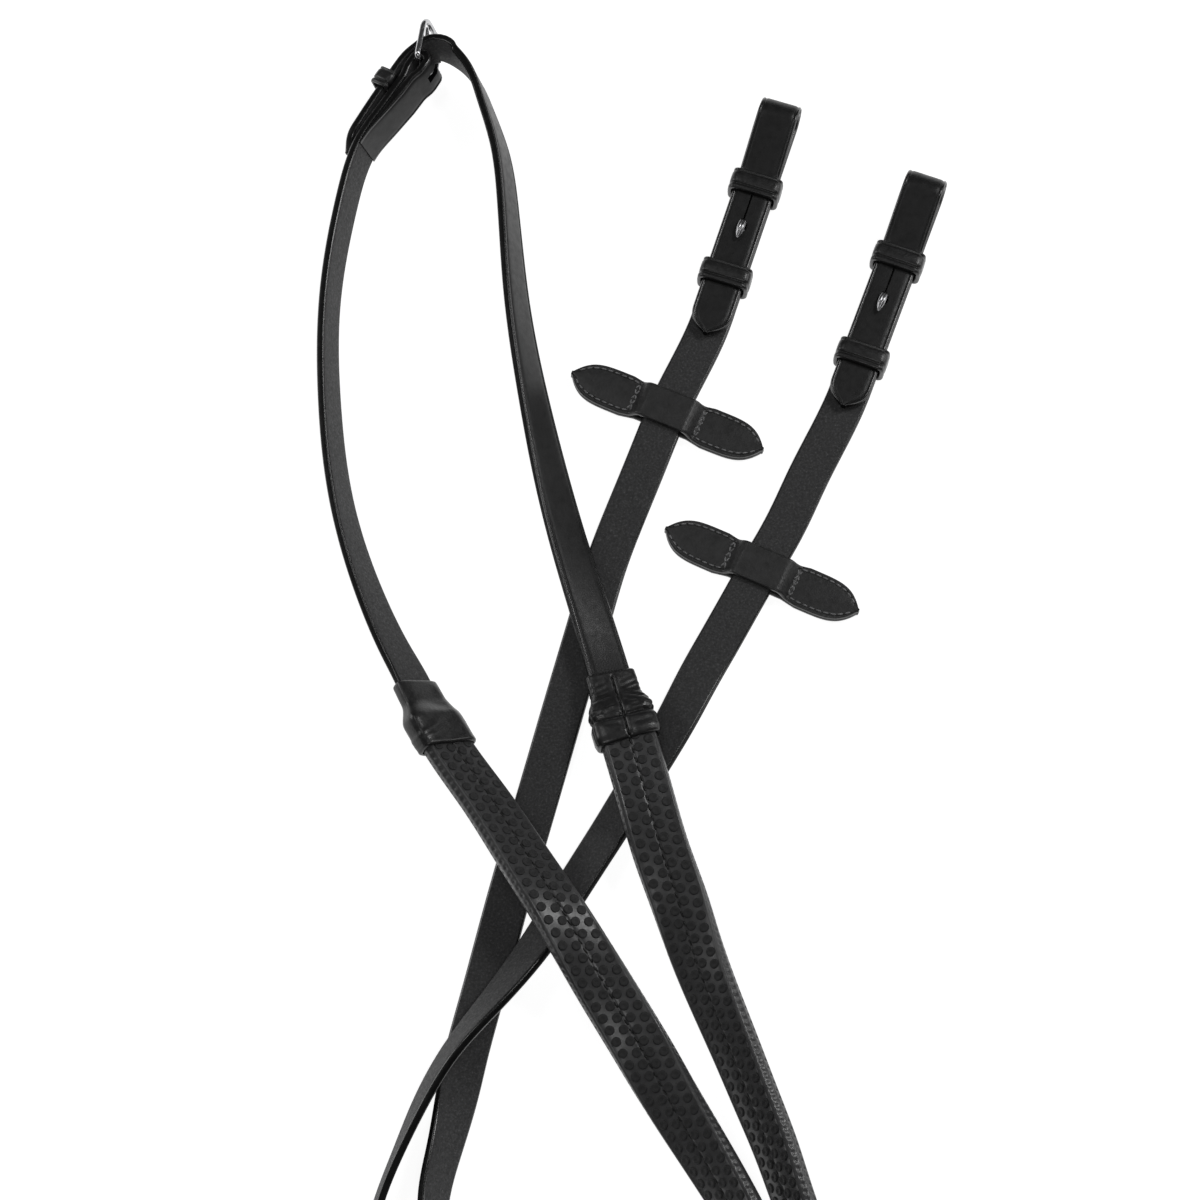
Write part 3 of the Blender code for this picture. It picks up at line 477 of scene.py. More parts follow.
def make_light():
    scene = bpy.context.scene
    scene.view_settings.view_transform = "Standard"
    world = bpy.data.worlds.new("studio")
    world.use_nodes = True
    world.node_tree.nodes["Background"].inputs["Color"].default_value = (1, 1, 1, 1)
    world.node_tree.nodes["Background"].inputs["Strength"].default_value = 0.07
    scene.world = world
    soft_box("panel_above_left", (-0.27, 0.34, 0.90), 1.6, 0.35, 1.7)
    soft_box("panel_above_right", (0.54, 0.34, 0.76), 1.6, 0.42, 5.5)
    soft_box("panel_left", (-0.86, 0.34, 0.40), 1.6, 0.8, 5)
    soft_box("panel_right", (0.88, 0.25, 0.40), 1.7, 0.8, 4)
    soft_box("panel_front", (0.0, -0.47, 0.88), 1.7, 0.5, 3.2)


def make_floor():
    half = 4.0
    mesh = bpy.data.meshes.new("floor")
    corners = [(-half, -half, 0), (half, -half, 0), (half, half, 0), (-half, half, 0)]
    mesh.from_pydata(corners, [], [(0, 1, 2, 3)])
    floor = bpy.data.objects.new("floor", mesh)
    floor.location.z = -0.0005
    bpy.context.collection.objects.link(floor)
    material = bpy.data.materials.new("floor_white")
    material.use_nodes = True
    shader = material.node_tree.nodes["Principled BSDF"]
    shader.inputs["Base Color"].default_value = (0.45, 0.45, 0.45, 1)
    shader.inputs["Roughness"].default_value = 0.8
    shader.inputs["Specular IOR Level"].default_value = 0.2
    shader.inputs["Emission Color"].default_value = (1, 1, 1, 1)
    shader.inputs["Emission Strength"].default_value = 0.9
    mesh.materials.append(material)


# ---------------------------------------------------------------- materials

class Finish:
    """A Principled material whose colour, roughness and bump come from procedural textures."""

    def __init__(self, name, metallic=0.0, specular=0.5, sheen=0.0, coat=0.0):
        self.material = bpy.data.materials.new(name)
        self.material.use_nodes = True
        self.tree = self.material.node_tree
        self.shader = self.tree.nodes["Principled BSDF"]
        self.place = self.tree.nodes.new("ShaderNodeTexCoord").outputs["Object"]
        self.shader.inputs["Metallic"].default_value = metallic
        self.shader.inputs["Specular IOR Level"].default_value = specular
        self.shader.inputs["Sheen Weight"].default_value = sheen
        self.shader.inputs["Coat Weight"].default_value = coat
        self.shader.inputs["Coat Roughness"].default_value = 0.25
        self.normal = None

    def node(self, kind, **settings):
        made = self.tree.nodes.new(kind)
        for key, value in settings.items():
            setattr(made, key, value)
        return made

    def noise(self, scale, detail=3.0, roughness=0.5):
        made = self.node("ShaderNodeTexNoise")
        self.tree.links.new(self.place, made.inputs["Vector"])
        made.inputs["Scale"].default_value = scale
        made.inputs["Detail"].default_value = detail
        made.inputs["Roughness"].default_value = roughness
        return made.outputs[0]

    def cells(self, scale, feature="F1"):
        made = self.node("ShaderNodeTexVoronoi", feature=feature)
        self.tree.links.new(self.place, made.inputs["Vector"])
        made.inputs["Scale"].default_value = scale
        return made.outputs["Distance"]

    def span(self, value, low_in, high_in, low, high):
        made = self.node("ShaderNodeMapRange")
        self.tree.links.new(value, made.inputs["Value"])
        for name, number in (("From Min", low_in), ("From Max", high_in), ("To Min", low), ("To Max", high)):
            made.inputs[name].default_value = number
        return made.outputs["Result"]

    def colour(self, value, stops):
        """Greys along a texture value, as (place, grey) pairs."""
        made = self.node("ShaderNodeValToRGB")
        self.tree.links.new(value, made.inputs["Fac"])
        ramp = made.color_ramp
        while len(ramp.elements) < len(stops):
            ramp.elements.new(0.5)
        for element, (place, grey) in zip(ramp.elements, stops):
            element.position = place
            element.color = (grey, grey, grey * 1.02, 1)
        self.tree.links.new(made.outputs["Color"], self.shader.inputs["Base Color"])
        return self

    def roughness(self, value, low, high):
        self.tree.links.new(self.span(value, 0.3, 0.7, low, high), self.shader.inputs["Roughness"])
        return self

    def bump(self, value, strength, distance):
        made = self.node("ShaderNodeBump")
        made.inputs["Strength"].default_value = strength
        made.inputs["Distance"].default_value = distance
        self.tree.links.new(value, made.inputs["Height"])
        if self.normal is not None:
            self.tree.links.new(self.normal, made.inputs["Normal"])
        self.normal = made.outputs["Normal"]
        self.tree.links.new(self.normal, self.shader.inputs["Normal"])
        return self


def make_finishes():
    made = {}

    grain = Finish("smooth_strap_leather", specular=0.35)
    grain.colour(grain.noise(160, 5), [(0.3, 0.0075), (0.7, 0.0125)])
    grain.roughness(grain.noise(420, 4), 0.34, 0.48)
    grain.bump(grain.cells(1500), 0.10, 0.0002).bump(grain.noise(3200, 2), 0.10, 0.0001)
    made["grain"] = grain.material

    flesh = Finish("flesh_side_leather", specular=0.4, sheen=0.05)
    flesh.colour(flesh.noise(1150, 5, 0.65), [(0.34, 0.024), (0.52, 0.037), (0.64, 0.062), (0.76, 0.13)])
    flesh.roughness(flesh.noise(700, 4), 0.62, 0.85)
    flesh.bump(flesh.noise(1300, 4, 0.65), 0.40, 0.0003).bump(flesh.noise(260, 3), 0.2, 0.0005)
    made["flesh"] = flesh.material

    edge = Finish("painted_strap_edge", specular=0.12)
    edge.colour(edge.noise(300, 3), [(0.3, 0.0025), (0.7, 0.006)])
    edge.roughness(edge.noise(500, 3), 0.4, 0.6)
    edge.bump(edge.noise(900, 3), 0.2, 0.0002)
    made["edge"] = edge.material

    bevel = Finish("burnished_strap_bevel", specular=0.6, coat=0.3)
    bevel.colour(bevel.noise(300, 3), [(0.3, 0.006), (0.7, 0.012)])
    bevel.roughness(bevel.noise(500, 3), 0.2, 0.32)
    bevel.bump(bevel.noise(260, 3), 0.03, 0.0001)
    made["bevel"] = bevel.material

    trim = Finish("soft_trim_leather", specular=0.5, coat=0.15)
    trim.colour(trim.noise(240, 4), [(0.3, 0.007), (0.7, 0.014)])
    trim.roughness(trim.noise(600, 4), 0.28, 0.44)
    trim.bump(trim.cells(1100), 0.16, 0.0002).bump(trim.noise(500, 4), 0.2, 0.0003)
    made["trim"] = trim.material

    stop = Finish("stitched_stop_leather", specular=0.5, coat=0.1)
    stop.colour(stop.noise(240, 4), [(0.3, 0.011), (0.7, 0.022)])
    stop.roughness(stop.noise(600, 4), 0.34, 0.5)
    stop.bump(stop.cells(1000), 0.2, 0.0002).bump(stop.noise(420, 4), 0.25, 0.0003)
    made["stop"] = stop.material

    rubber = Finish("grip_rubber_ground", specular=0.5)
    rubber.colour(rubber.noise(300, 4), [(0.3, 0.040), (0.7, 0.058)])
    rubber.roughness(rubber.noise(900, 4), 0.27, 0.37)
    rubber.bump(rubber.noise(2200, 3), 0.15, 0.0001)
    made["rubber"] = rubber.material

    dots = Finish("grip_rubber_dots", specular=0.3)
    dots.colour(dots.noise(500, 4), [(0.3, 0.020), (0.7, 0.028)])
    dots.roughness(dots.noise(900, 4), 0.55, 0.7)
    dots.bump(dots.noise(2600, 3), 0.25, 0.0001)
    made["dots"] = dots.material

    thread = Finish("black_waxed_thread", specular=0.4)
    thread.colour(thread.noise(1500, 3), [(0.3, 0.003), (0.7, 0.009)])
    thread.roughness(thread.noise(1500, 3), 0.4, 0.6)
    thread.bump(thread.noise(2500, 3), 0.4, 0.0002)
    made["thread"] = thread.material

    bright = Finish("grey_waxed_thread", specular=0.5)
    bright.colour(bright.noise(1500, 3), [(0.3, 0.10), (0.7, 0.24)])
    bright.roughness(bright.noise(1500, 3), 0.35, 0.6)
    bright.bump(bright.noise(2500, 3), 0.4, 0.0002)
    made["bright_thread"] = bright.material

    steel = Finish("polished_steel", metallic=1.0)
    steel.colour(steel.noise(400, 3), [(0.3, 0.42), (0.7, 0.56)])
    steel.roughness(steel.noise(700, 5), 0.10, 0.24)
    steel.bump(steel.noise(900, 5), 0.03, 0.0001)
    made["steel"] = steel.material

    stud = Finish("worn_stud_steel", metallic=1.0)
    stud.colour(stud.noise(300, 3), [(0.3, 0.30), (0.7, 0.42)])
    stud.roughness(stud.noise(500, 3), 0.2, 0.3)
    stud.bump(stud.noise(600, 3), 0.02, 0.0001)
    made["stud"] = stud.material
    return made


# ---------------------------------------------------------------- mesh building

class Batch:
    """Vertices and faces of one piece, gathered ring by ring."""

    def __init__(self):
        self.verts = []
        self.faces = []
        self.kinds = []

    def ring(self, points):
        first = len(self.verts)
        self.verts.extend(points)
        return list(range(first, len(self.verts)))

    def bridge(self, first, second, kinds=None):
        count = len(first)
        for i in range(count):
            j = (i + 1) % count
            self.faces.append((first[i], first[j], second[j], second[i]))
            self.kinds.append(kinds[i] if kinds else 0)

    def cap(self, ring, kind=0):
        self.faces.append(tuple(ring))
        self.kinds.append(kind)

    def loft(self, rings, kinds=None, ends=True, looped=False):
        made = [self.ring(points) for points in rings]
        for first, second in zip(made, made[1:]):
            self.bridge(first, second, kinds)
        if looped:
            self.bridge(made[-1], made[0], kinds)
        elif ends:
            self.cap(made[0])
            self.cap(made[-1])
        return made

    def tube(self, outer, inner, outer_kinds=None):
        """A hollow tube with closed lips at both ends."""
        first = self.loft(outer, outer_kinds, ends=False)
        second = self.loft(inner, None, ends=False)
        self.bridge(first[0], second[0])
        self.bridge(first[-1], second[-1])

    def piece(self, name, finishes, body, slot, replaced=(), sharp=50):
        mesh = bpy.data.meshes.new(name)
        mesh.from_pydata([tuple(v) for v in self.verts], [], self.faces)
        mesh.polygons.foreach_set("material_index", self.kinds)
        for finish in finishes:
            mesh.materials.append(finish)
        tidy = bmesh.new()
        tidy.from_mesh(mesh)
        bmesh.ops.recalc_face_normals(tidy, faces=tidy.faces)
        tidy.to_mesh(mesh)
        tidy.free()
        mesh.shade_smooth()
        mesh.set_sharp_from_angle(angle=math.radians(sharp))
        made = bpy.data.objects.new(name, mesh)
        bpy.context.collection.objects.link(made)
        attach(made, body)
        if replaced:
            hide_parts(*replaced)
        return made


def cut(piece, tools):
    """Cut holes and slits with exact Booleans, and keep the result as the piece's mesh."""
    for tool in tools:
        modifier = piece.modifiers.new("cut", "BOOLEAN")
        modifier.operation = "DIFFERENCE"
        modifier.solver = "EXACT"
        modifier.object = tool
    graph = bpy.context.evaluated_depsgraph_get()
    result = bpy.data.meshes.new_from_object(piece.evaluated_get(graph))
    piece.modifiers.clear()
    old = piece.data
    name = old.name
    piece.data = result
    bpy.data.meshes.remove(old)
    result.name = name
    for tool in tools:
        bpy.data.objects.remove(tool, do_unlink=True)


def tool_object(batch):
    mesh = bpy.data.meshes.new("tool")
    mesh.from_pydata([tuple(v) for v in batch.verts], [], batch.faces)
    tidy = bmesh.new()
    tidy.from_mesh(mesh)
    bmesh.ops.recalc_face_normals(tidy, faces=tidy.faces)
    tidy.to_mesh(mesh)
    tidy.free()
    made = bpy.data.objects.new("tool", mesh)
    made.hide_render = True
    bpy.context.collection.objects.link(made)
    return made


def disc_tool(centre, axis, side, radius, depth, stretch=1.0, sides=24):
    batch = Batch()
    other = axis.cross(side)
    rings = []
    for level in (-0.5, 0.5):
        ring = []
        for i in range(sides):
            angle = 2 * math.pi * i / sides
            flat = side * (math.cos(angle) * radius * stretch) + other * (math.sin(angle) * radius)
            ring.append(centre + axis * (level * depth) + flat)
        rings.append(ring)
    batch.loft(rings)
    return tool_object(batch)


def block_tool(centre, axes, sizes):
    batch = Batch()
    rings = []
    for level in (-0.5, 0.5):
        base = centre + axes[0] * (sizes[0] * level)
        ring = []
        for a, b in ((-0.5, -0.5), (0.5, -0.5), (0.5, 0.5), (-0.5, 0.5)):
            ring.append(base + axes[1] * (sizes[1] * a) + axes[2] * (sizes[2] * b))
        rings.append(ring)
    batch.loft(rings)
    return tool_object(batch)


class Line:
    """A strap's centreline with its across and face directions, read at any distance."""

    def __init__(self, stations):
        self.stations = stations
        self.distances = np.array([s.distance for s in stations])

    def at(self, distance):
        i = int(np.searchsorted(self.distances, distance)) - 1
        i = min(max(i, 0), len(self.stations) - 2)
        first, second = self.stations[i], self.stations[i + 1]
        share = (distance - first.distance) / max(second.distance - first.distance, 1e-9)
        point = first.point.lerp(second.point, share)
        share = min(max(share, 0), 1)
        across = first.across.lerp(second.across, share).normalized()
        face = first.face.lerp(second.face, share).normalized()
        return Station(point, across, face, distance)

    def put(self, distance, x, y):
        here = self.at(distance)
        return here.point + here.across * x + here.face * y


# A stitch's rings: place along it and size, as shares of its length and its thickness
CAPSULE_RINGS = (
    (-0.5, 0.3), (-0.42, 0.75), (-0.25, 0.97), (0, 1), (0.25, 0.97), (0.42, 0.75), (0.5, 0.3),
)


def capsule(batch, centre, axis, rise, length, width, height, sides=8, kind=0):
    """One stitch: a short rounded bar lying along axis."""
    side = axis.cross(rise)
    rings = []
    for share, size in CAPSULE_RINGS:
        ring = []
        for i in range(sides):
            angle = 2 * math.pi * i / sides
            flat = side * (math.cos(angle) * width / 2 * size) + rise * (math.sin(angle) * height / 2 * size)
            ring.append(centre + axis * (share * length) + flat)
        rings.append(ring)
    batch.loft(rings, [kind] * sides)


# ---------------------------------------------------------------- straps

# Half a strap's section, from the middle of the smooth side round to the middle of the flesh side,
# as (across, towards the smooth side) in millimetres, with the creased line inside the edge.
STRAP_HALF = [
    (0, 1.60), (2.4, 1.62), (4.6, 1.61), (5.7, 1.58), (6.05, 1.48), (6.3, 1.34), (6.5, 1.31), (6.7, 1.38),
    (6.9, 1.52), (7.15, 1.58), (7.45, 1.50), (7.7, 1.32), (7.9, 0.95), (8.0, 0.4), (8.0, -0.4),
    (7.93, -0.9), (7.65, -1.3), (7.2, -1.52), (6.7, -1.6), (4.8, -1.6), (2.4, -1.6), (0, -1.6),
]
# Material numbers of the half section's segments: 0 edge, 1 smooth side, 2 flesh side, 3 bevel
STRAP_HALF_KINDS = [1] * 8 + [3] * 4 + [0] * 3 + [3] * 2 + [2] * 4


def strap_ring_points():
    half = [(x * MM, y * MM) for x, y in STRAP_HALF]
    return half + [(-x, y) for x, y in reversed(half[1:-1])]


def strap_kinds():
    return STRAP_HALF_KINDS + STRAP_HALF_KINDS[::-1]


def gothic(distance_to_end, length, full):
    """Width near a pointed end, by two arcs that meet at the point."""
    if distance_to_end >= length:
        return full
    share = 1 - distance_to_end / length
    return max(full * (1 - share ** TIP_POWER), TIP_END_SHARE * full)


def finer(stations, longest=4 * MM, turn=math.radians(1.5), tip=13 * MM, parts=3):
    """Fewer stations on straight runs, and extra ones near both ends."""
    first, last = stations[0].distance, stations[-1].distance
    kept = [stations[0]]
    for here, after in zip(stations[1:-1], stations[2:]):
        bent = max(here.face.angle(kept[-1].face), here.across.angle(kept[-1].across))
        near_end = min(here.distance - first, last - here.distance) < tip
        if near_end or bent > turn or after.distance - kept[-1].distance > longest:
            kept.append(here)
    kept.append(stations[-1])
    line = Line(stations)
    made = []
    for here, after in zip(kept, kept[1:]):
        made.append(here)
        if min(here.distance - first, last - after.distance) < tip:
            gap = after.distance - here.distance
            made += [line.at(here.distance + gap * i / parts) for i in range(1, parts)]
    return made + [kept[-1]]


def make_strap(side, stations, finishes):
    smooth_side = -1 if side == "left" else 1
    points = strap_ring_points()
    first, last = stations[0].distance, stations[-1].distance
    rings = []
    for station in finer(stations):
        scale, thick, lift = gothic(last - station.distance, TIP_LENGTH, 1.0), 1.0, 0.0
        if side == "left":
            share = min((station.distance - first) / PARED_LENGTH, 1)
            thick = (PARED_END + (STRAP_THICKNESS - PARED_END) * share) / STRAP_THICKNESS
            lift = STRAP_THICKNESS * (1 - thick) / 2 + FLAP_DROP * (1 - share)
        else:
            scale = min(scale, gothic(station.distance - first, TIP_LENGTH, 1.0))
        ring = []
        half = STRAP_WIDTH / 2 * scale
        border = TIP_BORDER * min(1.0, half / (TIP_BORDER + 0.4 * MM))
        for x, y in points:
            share = (STRAP_WIDTH / 2 - abs(x)) / TIP_BORDER
            if share < 1:
                place = half - border * share
            else:
                place = abs(x) / (STRAP_WIDTH / 2 - TIP_BORDER) * (half - border)
            place = math.copysign(place, x)
            rise = y * smooth_side * thick + lift
            ring.append(station.point + station.across * place + station.face * rise)
        rings.append(ring)
    batch = Batch()
    batch.loft(rings, strap_kinds())
    kinds = [finishes[name] for name in ("edge", "grain", "flesh", "bevel")]
    return batch.piece(f"{side}_strap_leather", kinds, "reins", "strap_leather", [f"{side}_rein_strap"])


def on_billet(side, distance, height):
    spec = SIDES[side]
    return spec["loop_front"] - spec["heading"] * distance + Vector((0, 0, height))


def billet_cuts(side):
    """The rivet hole in the standing layer, and the hole and long slit for the hook."""
    up = Vector((0, 0, 1))
    heading = SIDES[side]["heading"]
    cross = up.cross(heading)
    over = BILLET_HEIGHT + STRAP_THICKNESS + LAYER_GAP
    slit_length = 17.5 * MM
    return [
        disc_tool(on_billet(side, STUD_DISTANCE, BILLET_HEIGHT), up, heading, 1.65 * MM, 4.4 * MM),
        disc_tool(on_billet(side, STUD_DISTANCE + 1.2 * MM, over), up, heading, 2.1 * MM, 4.2 * MM, 1.5),
        block_tool(on_billet(side, STUD_DISTANCE - slit_length / 2, over), (heading, cross, up),
                   (slit_length, 0.7 * MM, 4.4 * MM)),
    ]


def fold_cuts():
    return [block_tool(at_buckle(2 * MM, 0), (FOLD_AXIS, OUT_AXIS, BAR_AXIS), (11 * MM, 14 * MM, 3.4 * MM))]


def tip_cuts():
    """The oval hole that the tongue is in, and a spare hole nearer the tip."""
    middle = BAR_CENTRE + FRAME_AXIS * 7.8 * MM + FRAME_SIDE * 1.2 * MM
    used = disc_tool(middle, FRAME_AXIS, FRAME_SIDE, 1.7 * MM, 6 * MM, 1.5)
    spare = disc_tool(at_buckle(-27 * MM, 6.6 * MM), OUT_AXIS, FOLD_AXIS, 1.6 * MM, 6 * MM)
    return [used, spare]


# ---------------------------------------------------------------- rubber grips

# A quarter of a grip's section, from the seam in the middle of a face to the middle of the side,
# in millimetres: seam groove, crowned face, smooth ridge, and rounded side wall.
GRIP_QUARTER = [
    (0, 2.95), (0.3, 2.98), (0.6, 3.16), (0.95, 3.24), (2.2, 3.25), (4.5, 3.17), (6.8, 3.02), (8.5, 2.86),
    (8.75, 2.93), (9.1, 3.02), (9.5, 2.93), (9.85, 2.62), (10.15, 2.15), (10.4, 1.6), (10.6, 0.95),
    (10.7, 0.4),
]
NOTCHED_POINTS = (13, 14)
NOTCH_DEPTH = 0.5 * MM
NOTCH_PITCH = 2.95 * MM
DOT_RADIUS = 1.84 * MM
DOT_PITCH = 5.0 * MM
DOT_COLUMNS = (-6.75 * MM, -2.2 * MM, 2.2 * MM, 6.75 * MM)
DOT_STEPS = ((1.0, -0.25), (1.0, 0.16), (0.93, 0.34), (0.78, 0.42), (0.5, 0.38), (0.3, 0.28), (0.12, 0.22))
SEAM_PITCH = 3.75 * MM
SEAM_STITCH = 2.5 * MM


def grip_ring_points():
    """The whole ring, and how much each point takes part in the side notches."""
    quarter = [(x * MM, y * MM) for x, y in GRIP_QUARTER]
    weights = [1.0 if i in NOTCHED_POINTS else 0.0 for i in range(len(quarter))]
    lower = [(x, -y) for x, y in reversed(quarter)]
    half = quarter + lower
    half_weights = weights + weights[::-1]
    other = [(-x, y) for x, y in reversed(half[1:-1])]
    return half + other, half_weights + half_weights[-2:0:-1]


def grip_height(x):
    rows = np.array(GRIP_QUARTER)
    return float(np.interp(abs(x) / MM, rows[:, 0], rows[:, 1])) * MM


def make_grip(side, line, finishes):
    start, end = marks(side)[0]
    points, weights = grip_ring_points()
    inner = [(min(max(x * 0.785, -8.4 * MM), 8.4 * MM), min(max(y, -2 * MM), 2 * MM)) for x, y in points]
    count = int((end - start) / (0.74 * MM))
    outer_rings, inner_rings = [], []
    for i in range(count + 1):
        distance = start + (end - start) * i / count
        here = line.at(distance)
        wave = max(0.0, math.sin(2 * math.pi * distance / NOTCH_PITCH)) ** 0.7
        ring = []
        for (x, y), weight in zip(points, weights):
            moved = x - math.copysign(NOTCH_DEPTH * wave * weight, x)
            ring.append(here.point + here.across * moved + here.face * y)
        outer_rings.append(ring)
        inner_rings.append([here.point + here.across * x + here.face * y for x, y in inner])
    batch = Batch()
    batch.tube(outer_rings, inner_rings)
    grip = batch.piece(f"{side}_grip_cover", [finishes["rubber"]], "reins", "grip_rubber",
                       [f"{side}_rubber_grip"], sharp=75)
    dots = make_dots(side, line, start + SLEEVE_ON_GRIP, end - SLEEVE_ON_GRIP, finishes)
    seam = make_grip_seam(side, line, start + SLEEVE_ON_GRIP, end - SLEEVE_ON_GRIP, finishes)
    return [grip, dots, seam]


def make_dots(side, line, start, end, finishes):
    """Raised dots with dimpled tops, in four staggered columns on each face."""
    batch = Batch()
    sides = 14
    for face_sign in (1, -1):
        for column, x in enumerate(DOT_COLUMNS):
            distance = start - 0.8 * MM + (DOT_PITCH / 2 if column % 2 else 0)
            while distance < end + 0.8 * MM:
                here = line.at(distance)
                travel = here.across.cross(here.face)
                slope = (grip_height(abs(x) + 0.8 * MM) - grip_height(abs(x) - 0.8 * MM)) / (1.6 * MM)
                lean = math.atan(slope) * math.copysign(1, x) * face_sign
                across = here.across * math.cos(lean) + here.face * math.sin(lean)
                rise = (here.face * math.cos(lean) - here.across * math.sin(lean)) * face_sign
                centre = here.point + here.across * x + here.face * (grip_height(x) * face_sign)
                rings = []
                for size, height in DOT_STEPS:
                    ring = []
                    for i in range(sides):
                        angle = 2 * math.pi * i / sides
                        flat = travel * math.cos(angle) + across * math.sin(angle)
                        ring.append(centre + flat * (DOT_RADIUS * size) + rise * (height * MM))
                    rings.append(ring)
                batch.loft(rings)
                distance += DOT_PITCH
    return batch.piece(f"{side}_grip_dots", [finishes["dots"]], "reins", "grip_rubber", sharp=70)


def make_grip_seam(side, line, start, end, finishes):
    """Slanted stitches lying in the groove along the middle of both faces."""
    batch = Batch()
    for face_sign in (1, -1):
        distance = start + 1.2 * MM
        while distance < end - 1 * MM:
            here = line.at(distance)
            travel = here.across.cross(here.face)
            axis = (travel * math.cos(0.16) + here.across * math.sin(0.16)).normalized()
            centre = here.point + here.face * (3.08 * MM * face_sign)
            capsule(batch, centre, axis, here.face, SEAM_STITCH, 0.75 * MM, 0.6 * MM)
            distance += SEAM_PITCH
    return batch.piece(f"{side}_grip_seam", [finishes["thread"]], "reins", "grip_rubber")


# ---------------------------------------------------------------- leather sleeves on the grip ends

# A quarter of a sleeve's ring, as shares of its half width on the face, then of its half thickness
SLEEVE_POWER = 4.4
SLEEVE_ACROSS = (
    0, 0.02, 0.045, 0.08, 0.13, 0.19, 0.26, 0.34, 0.42, 0.5, 0.58, 0.66, 0.74, 0.81, 0.87, 0.915,
)
SLEEVE_RISE = (0.68, 0.5, 0.3, 0)
SLEEVE_STEP = 0.5 * MM


def sleeve_ring():
    """Directions round a sleeve, as shares of its half width and half thickness."""
    def other(share):
        return (1 - share ** SLEEVE_POWER) ** (1 / SLEEVE_POWER)

    quarter = [(x, other(x)) for x in SLEEVE_ACROSS] + [(other(y), y) for y in SLEEVE_RISE]
    half = quarter + [(x, -y) for x, y in reversed(quarter[:-1])]
    return half + [(-x, y) for x, y in reversed(half[1:-1])]


def smooth_step(value, low, high):
    share = min(max((value - low) / (high - low), 0), 1)
    return share * share * (3 - 2 * share)


def pulse(value, centre, width):
    return math.exp(-((value - centre) / width) ** 2)


def plain_relief(run, x, top):
    """Wrinkles of a smooth sleeve, in millimetres, by distance from the strap end and across."""
    ridge = 0.34 * pulse(x, 6.2 + 0.06 * run, 1.7) * smooth_step(run, 0, 4)
    oblique = 0.09 * math.sin(0.42 * run + 0.55 * x) * smooth_step(run, 3, 10)
    folds = 0.30 * pulse(run + 0.5 * x, 18.5, 1.2) * smooth_step(-x, -2, 4)
    folds += 0.20 * pulse(run + 0.3 * x, 22.5, 0.9) * smooth_step(-x, -4, 4)
    folds -= 0.30 * pulse(run - 0.2 * x, 12.5, 2.2) * smooth_step(x, -3, 3)
    return ridge + oblique + folds


def gathered_relief(run, x, top):
    """A sewn and gathered sleeve: centre seam, slanting wrinkles, one deep fold and a full lower band."""
    started = smooth_step(run, 1.6, 3.2) if top else 0.0
    seam = -0.75 * pulse(x, 0, 0.34) * started
    lips = 0.20 * (pulse(x, 1.2, 0.6) + pulse(x, -1.2, 0.6)) * started
    above_fold = 1 - smooth_step(run, 18, 19.5)
    away = smooth_step(abs(x), 1.2, 4)
    fine = 0.09 * math.sin(3.1 * run + 0.9 * x + 1.6 * math.sin(0.6 * run)) * smooth_step(run, 2.5, 6) * away
    drag = 0.30 * pulse(run - 0.55 * x, 7.5, 0.8) + 0.28 * pulse(run - 0.48 * x, 10.5, 0.75)
    drag += 0.26 * pulse(run - 0.40 * x, 13.4, 0.8) + 0.2 * pulse(run - 0.3 * x, 16, 0.7)
    other = 0.22 * pulse(run + 0.2 * x, 11.5, 0.7) + 0.26 * pulse(run + 0.12 * x, 15.2, 0.8)
    wrinkles = fine + drag * smooth_step(x, 0.8, 2.6) + other * smooth_step(-x, 0.8, 3)
    ridge = 0.22 * (pulse(x, -7.0, 0.8) + pulse(x, 7.6, 0.9)) * smooth_step(run, 1, 5)
    fold = -0.85 * pulse(run + 0.06 * abs(x), 19.6, 0.6)
    band = 0.60 * smooth_step(run, 19.8, 21.8) * (1 - 0.8 * smooth_step(run, 26.2, 28.6))
    dents = -0.35 * pulse(run, 23.6 + 0.25 * x, 0.7) * pulse(x, -5, 2.5)
    dents -= 0.30 * pulse(run, 24.0, 0.8) * pulse(x, 5.5, 2.0)
    return seam + lips + (wrinkles + ridge) * above_fold + fold + band + dents


def sleeve_sizes(run):
    """Half width and half thickness inside a sleeve, in millimetres from its strap end."""
    small = (STRAP_WIDTH / 2 + CORE_CLEARANCE, STRAP_THICKNESS / 2 + CORE_CLEARANCE)
    large = (GRIP_WIDTH / 2 + GAP, GRIP_THICKNESS / 2 + GAP + 0.35 * MM)
    flare = smooth_step(run, 8.5 * MM, SLEEVE_ON_STRAP - 0.5 * MM)
    return [a + (b - a) * flare for a, b in zip(small, large)]


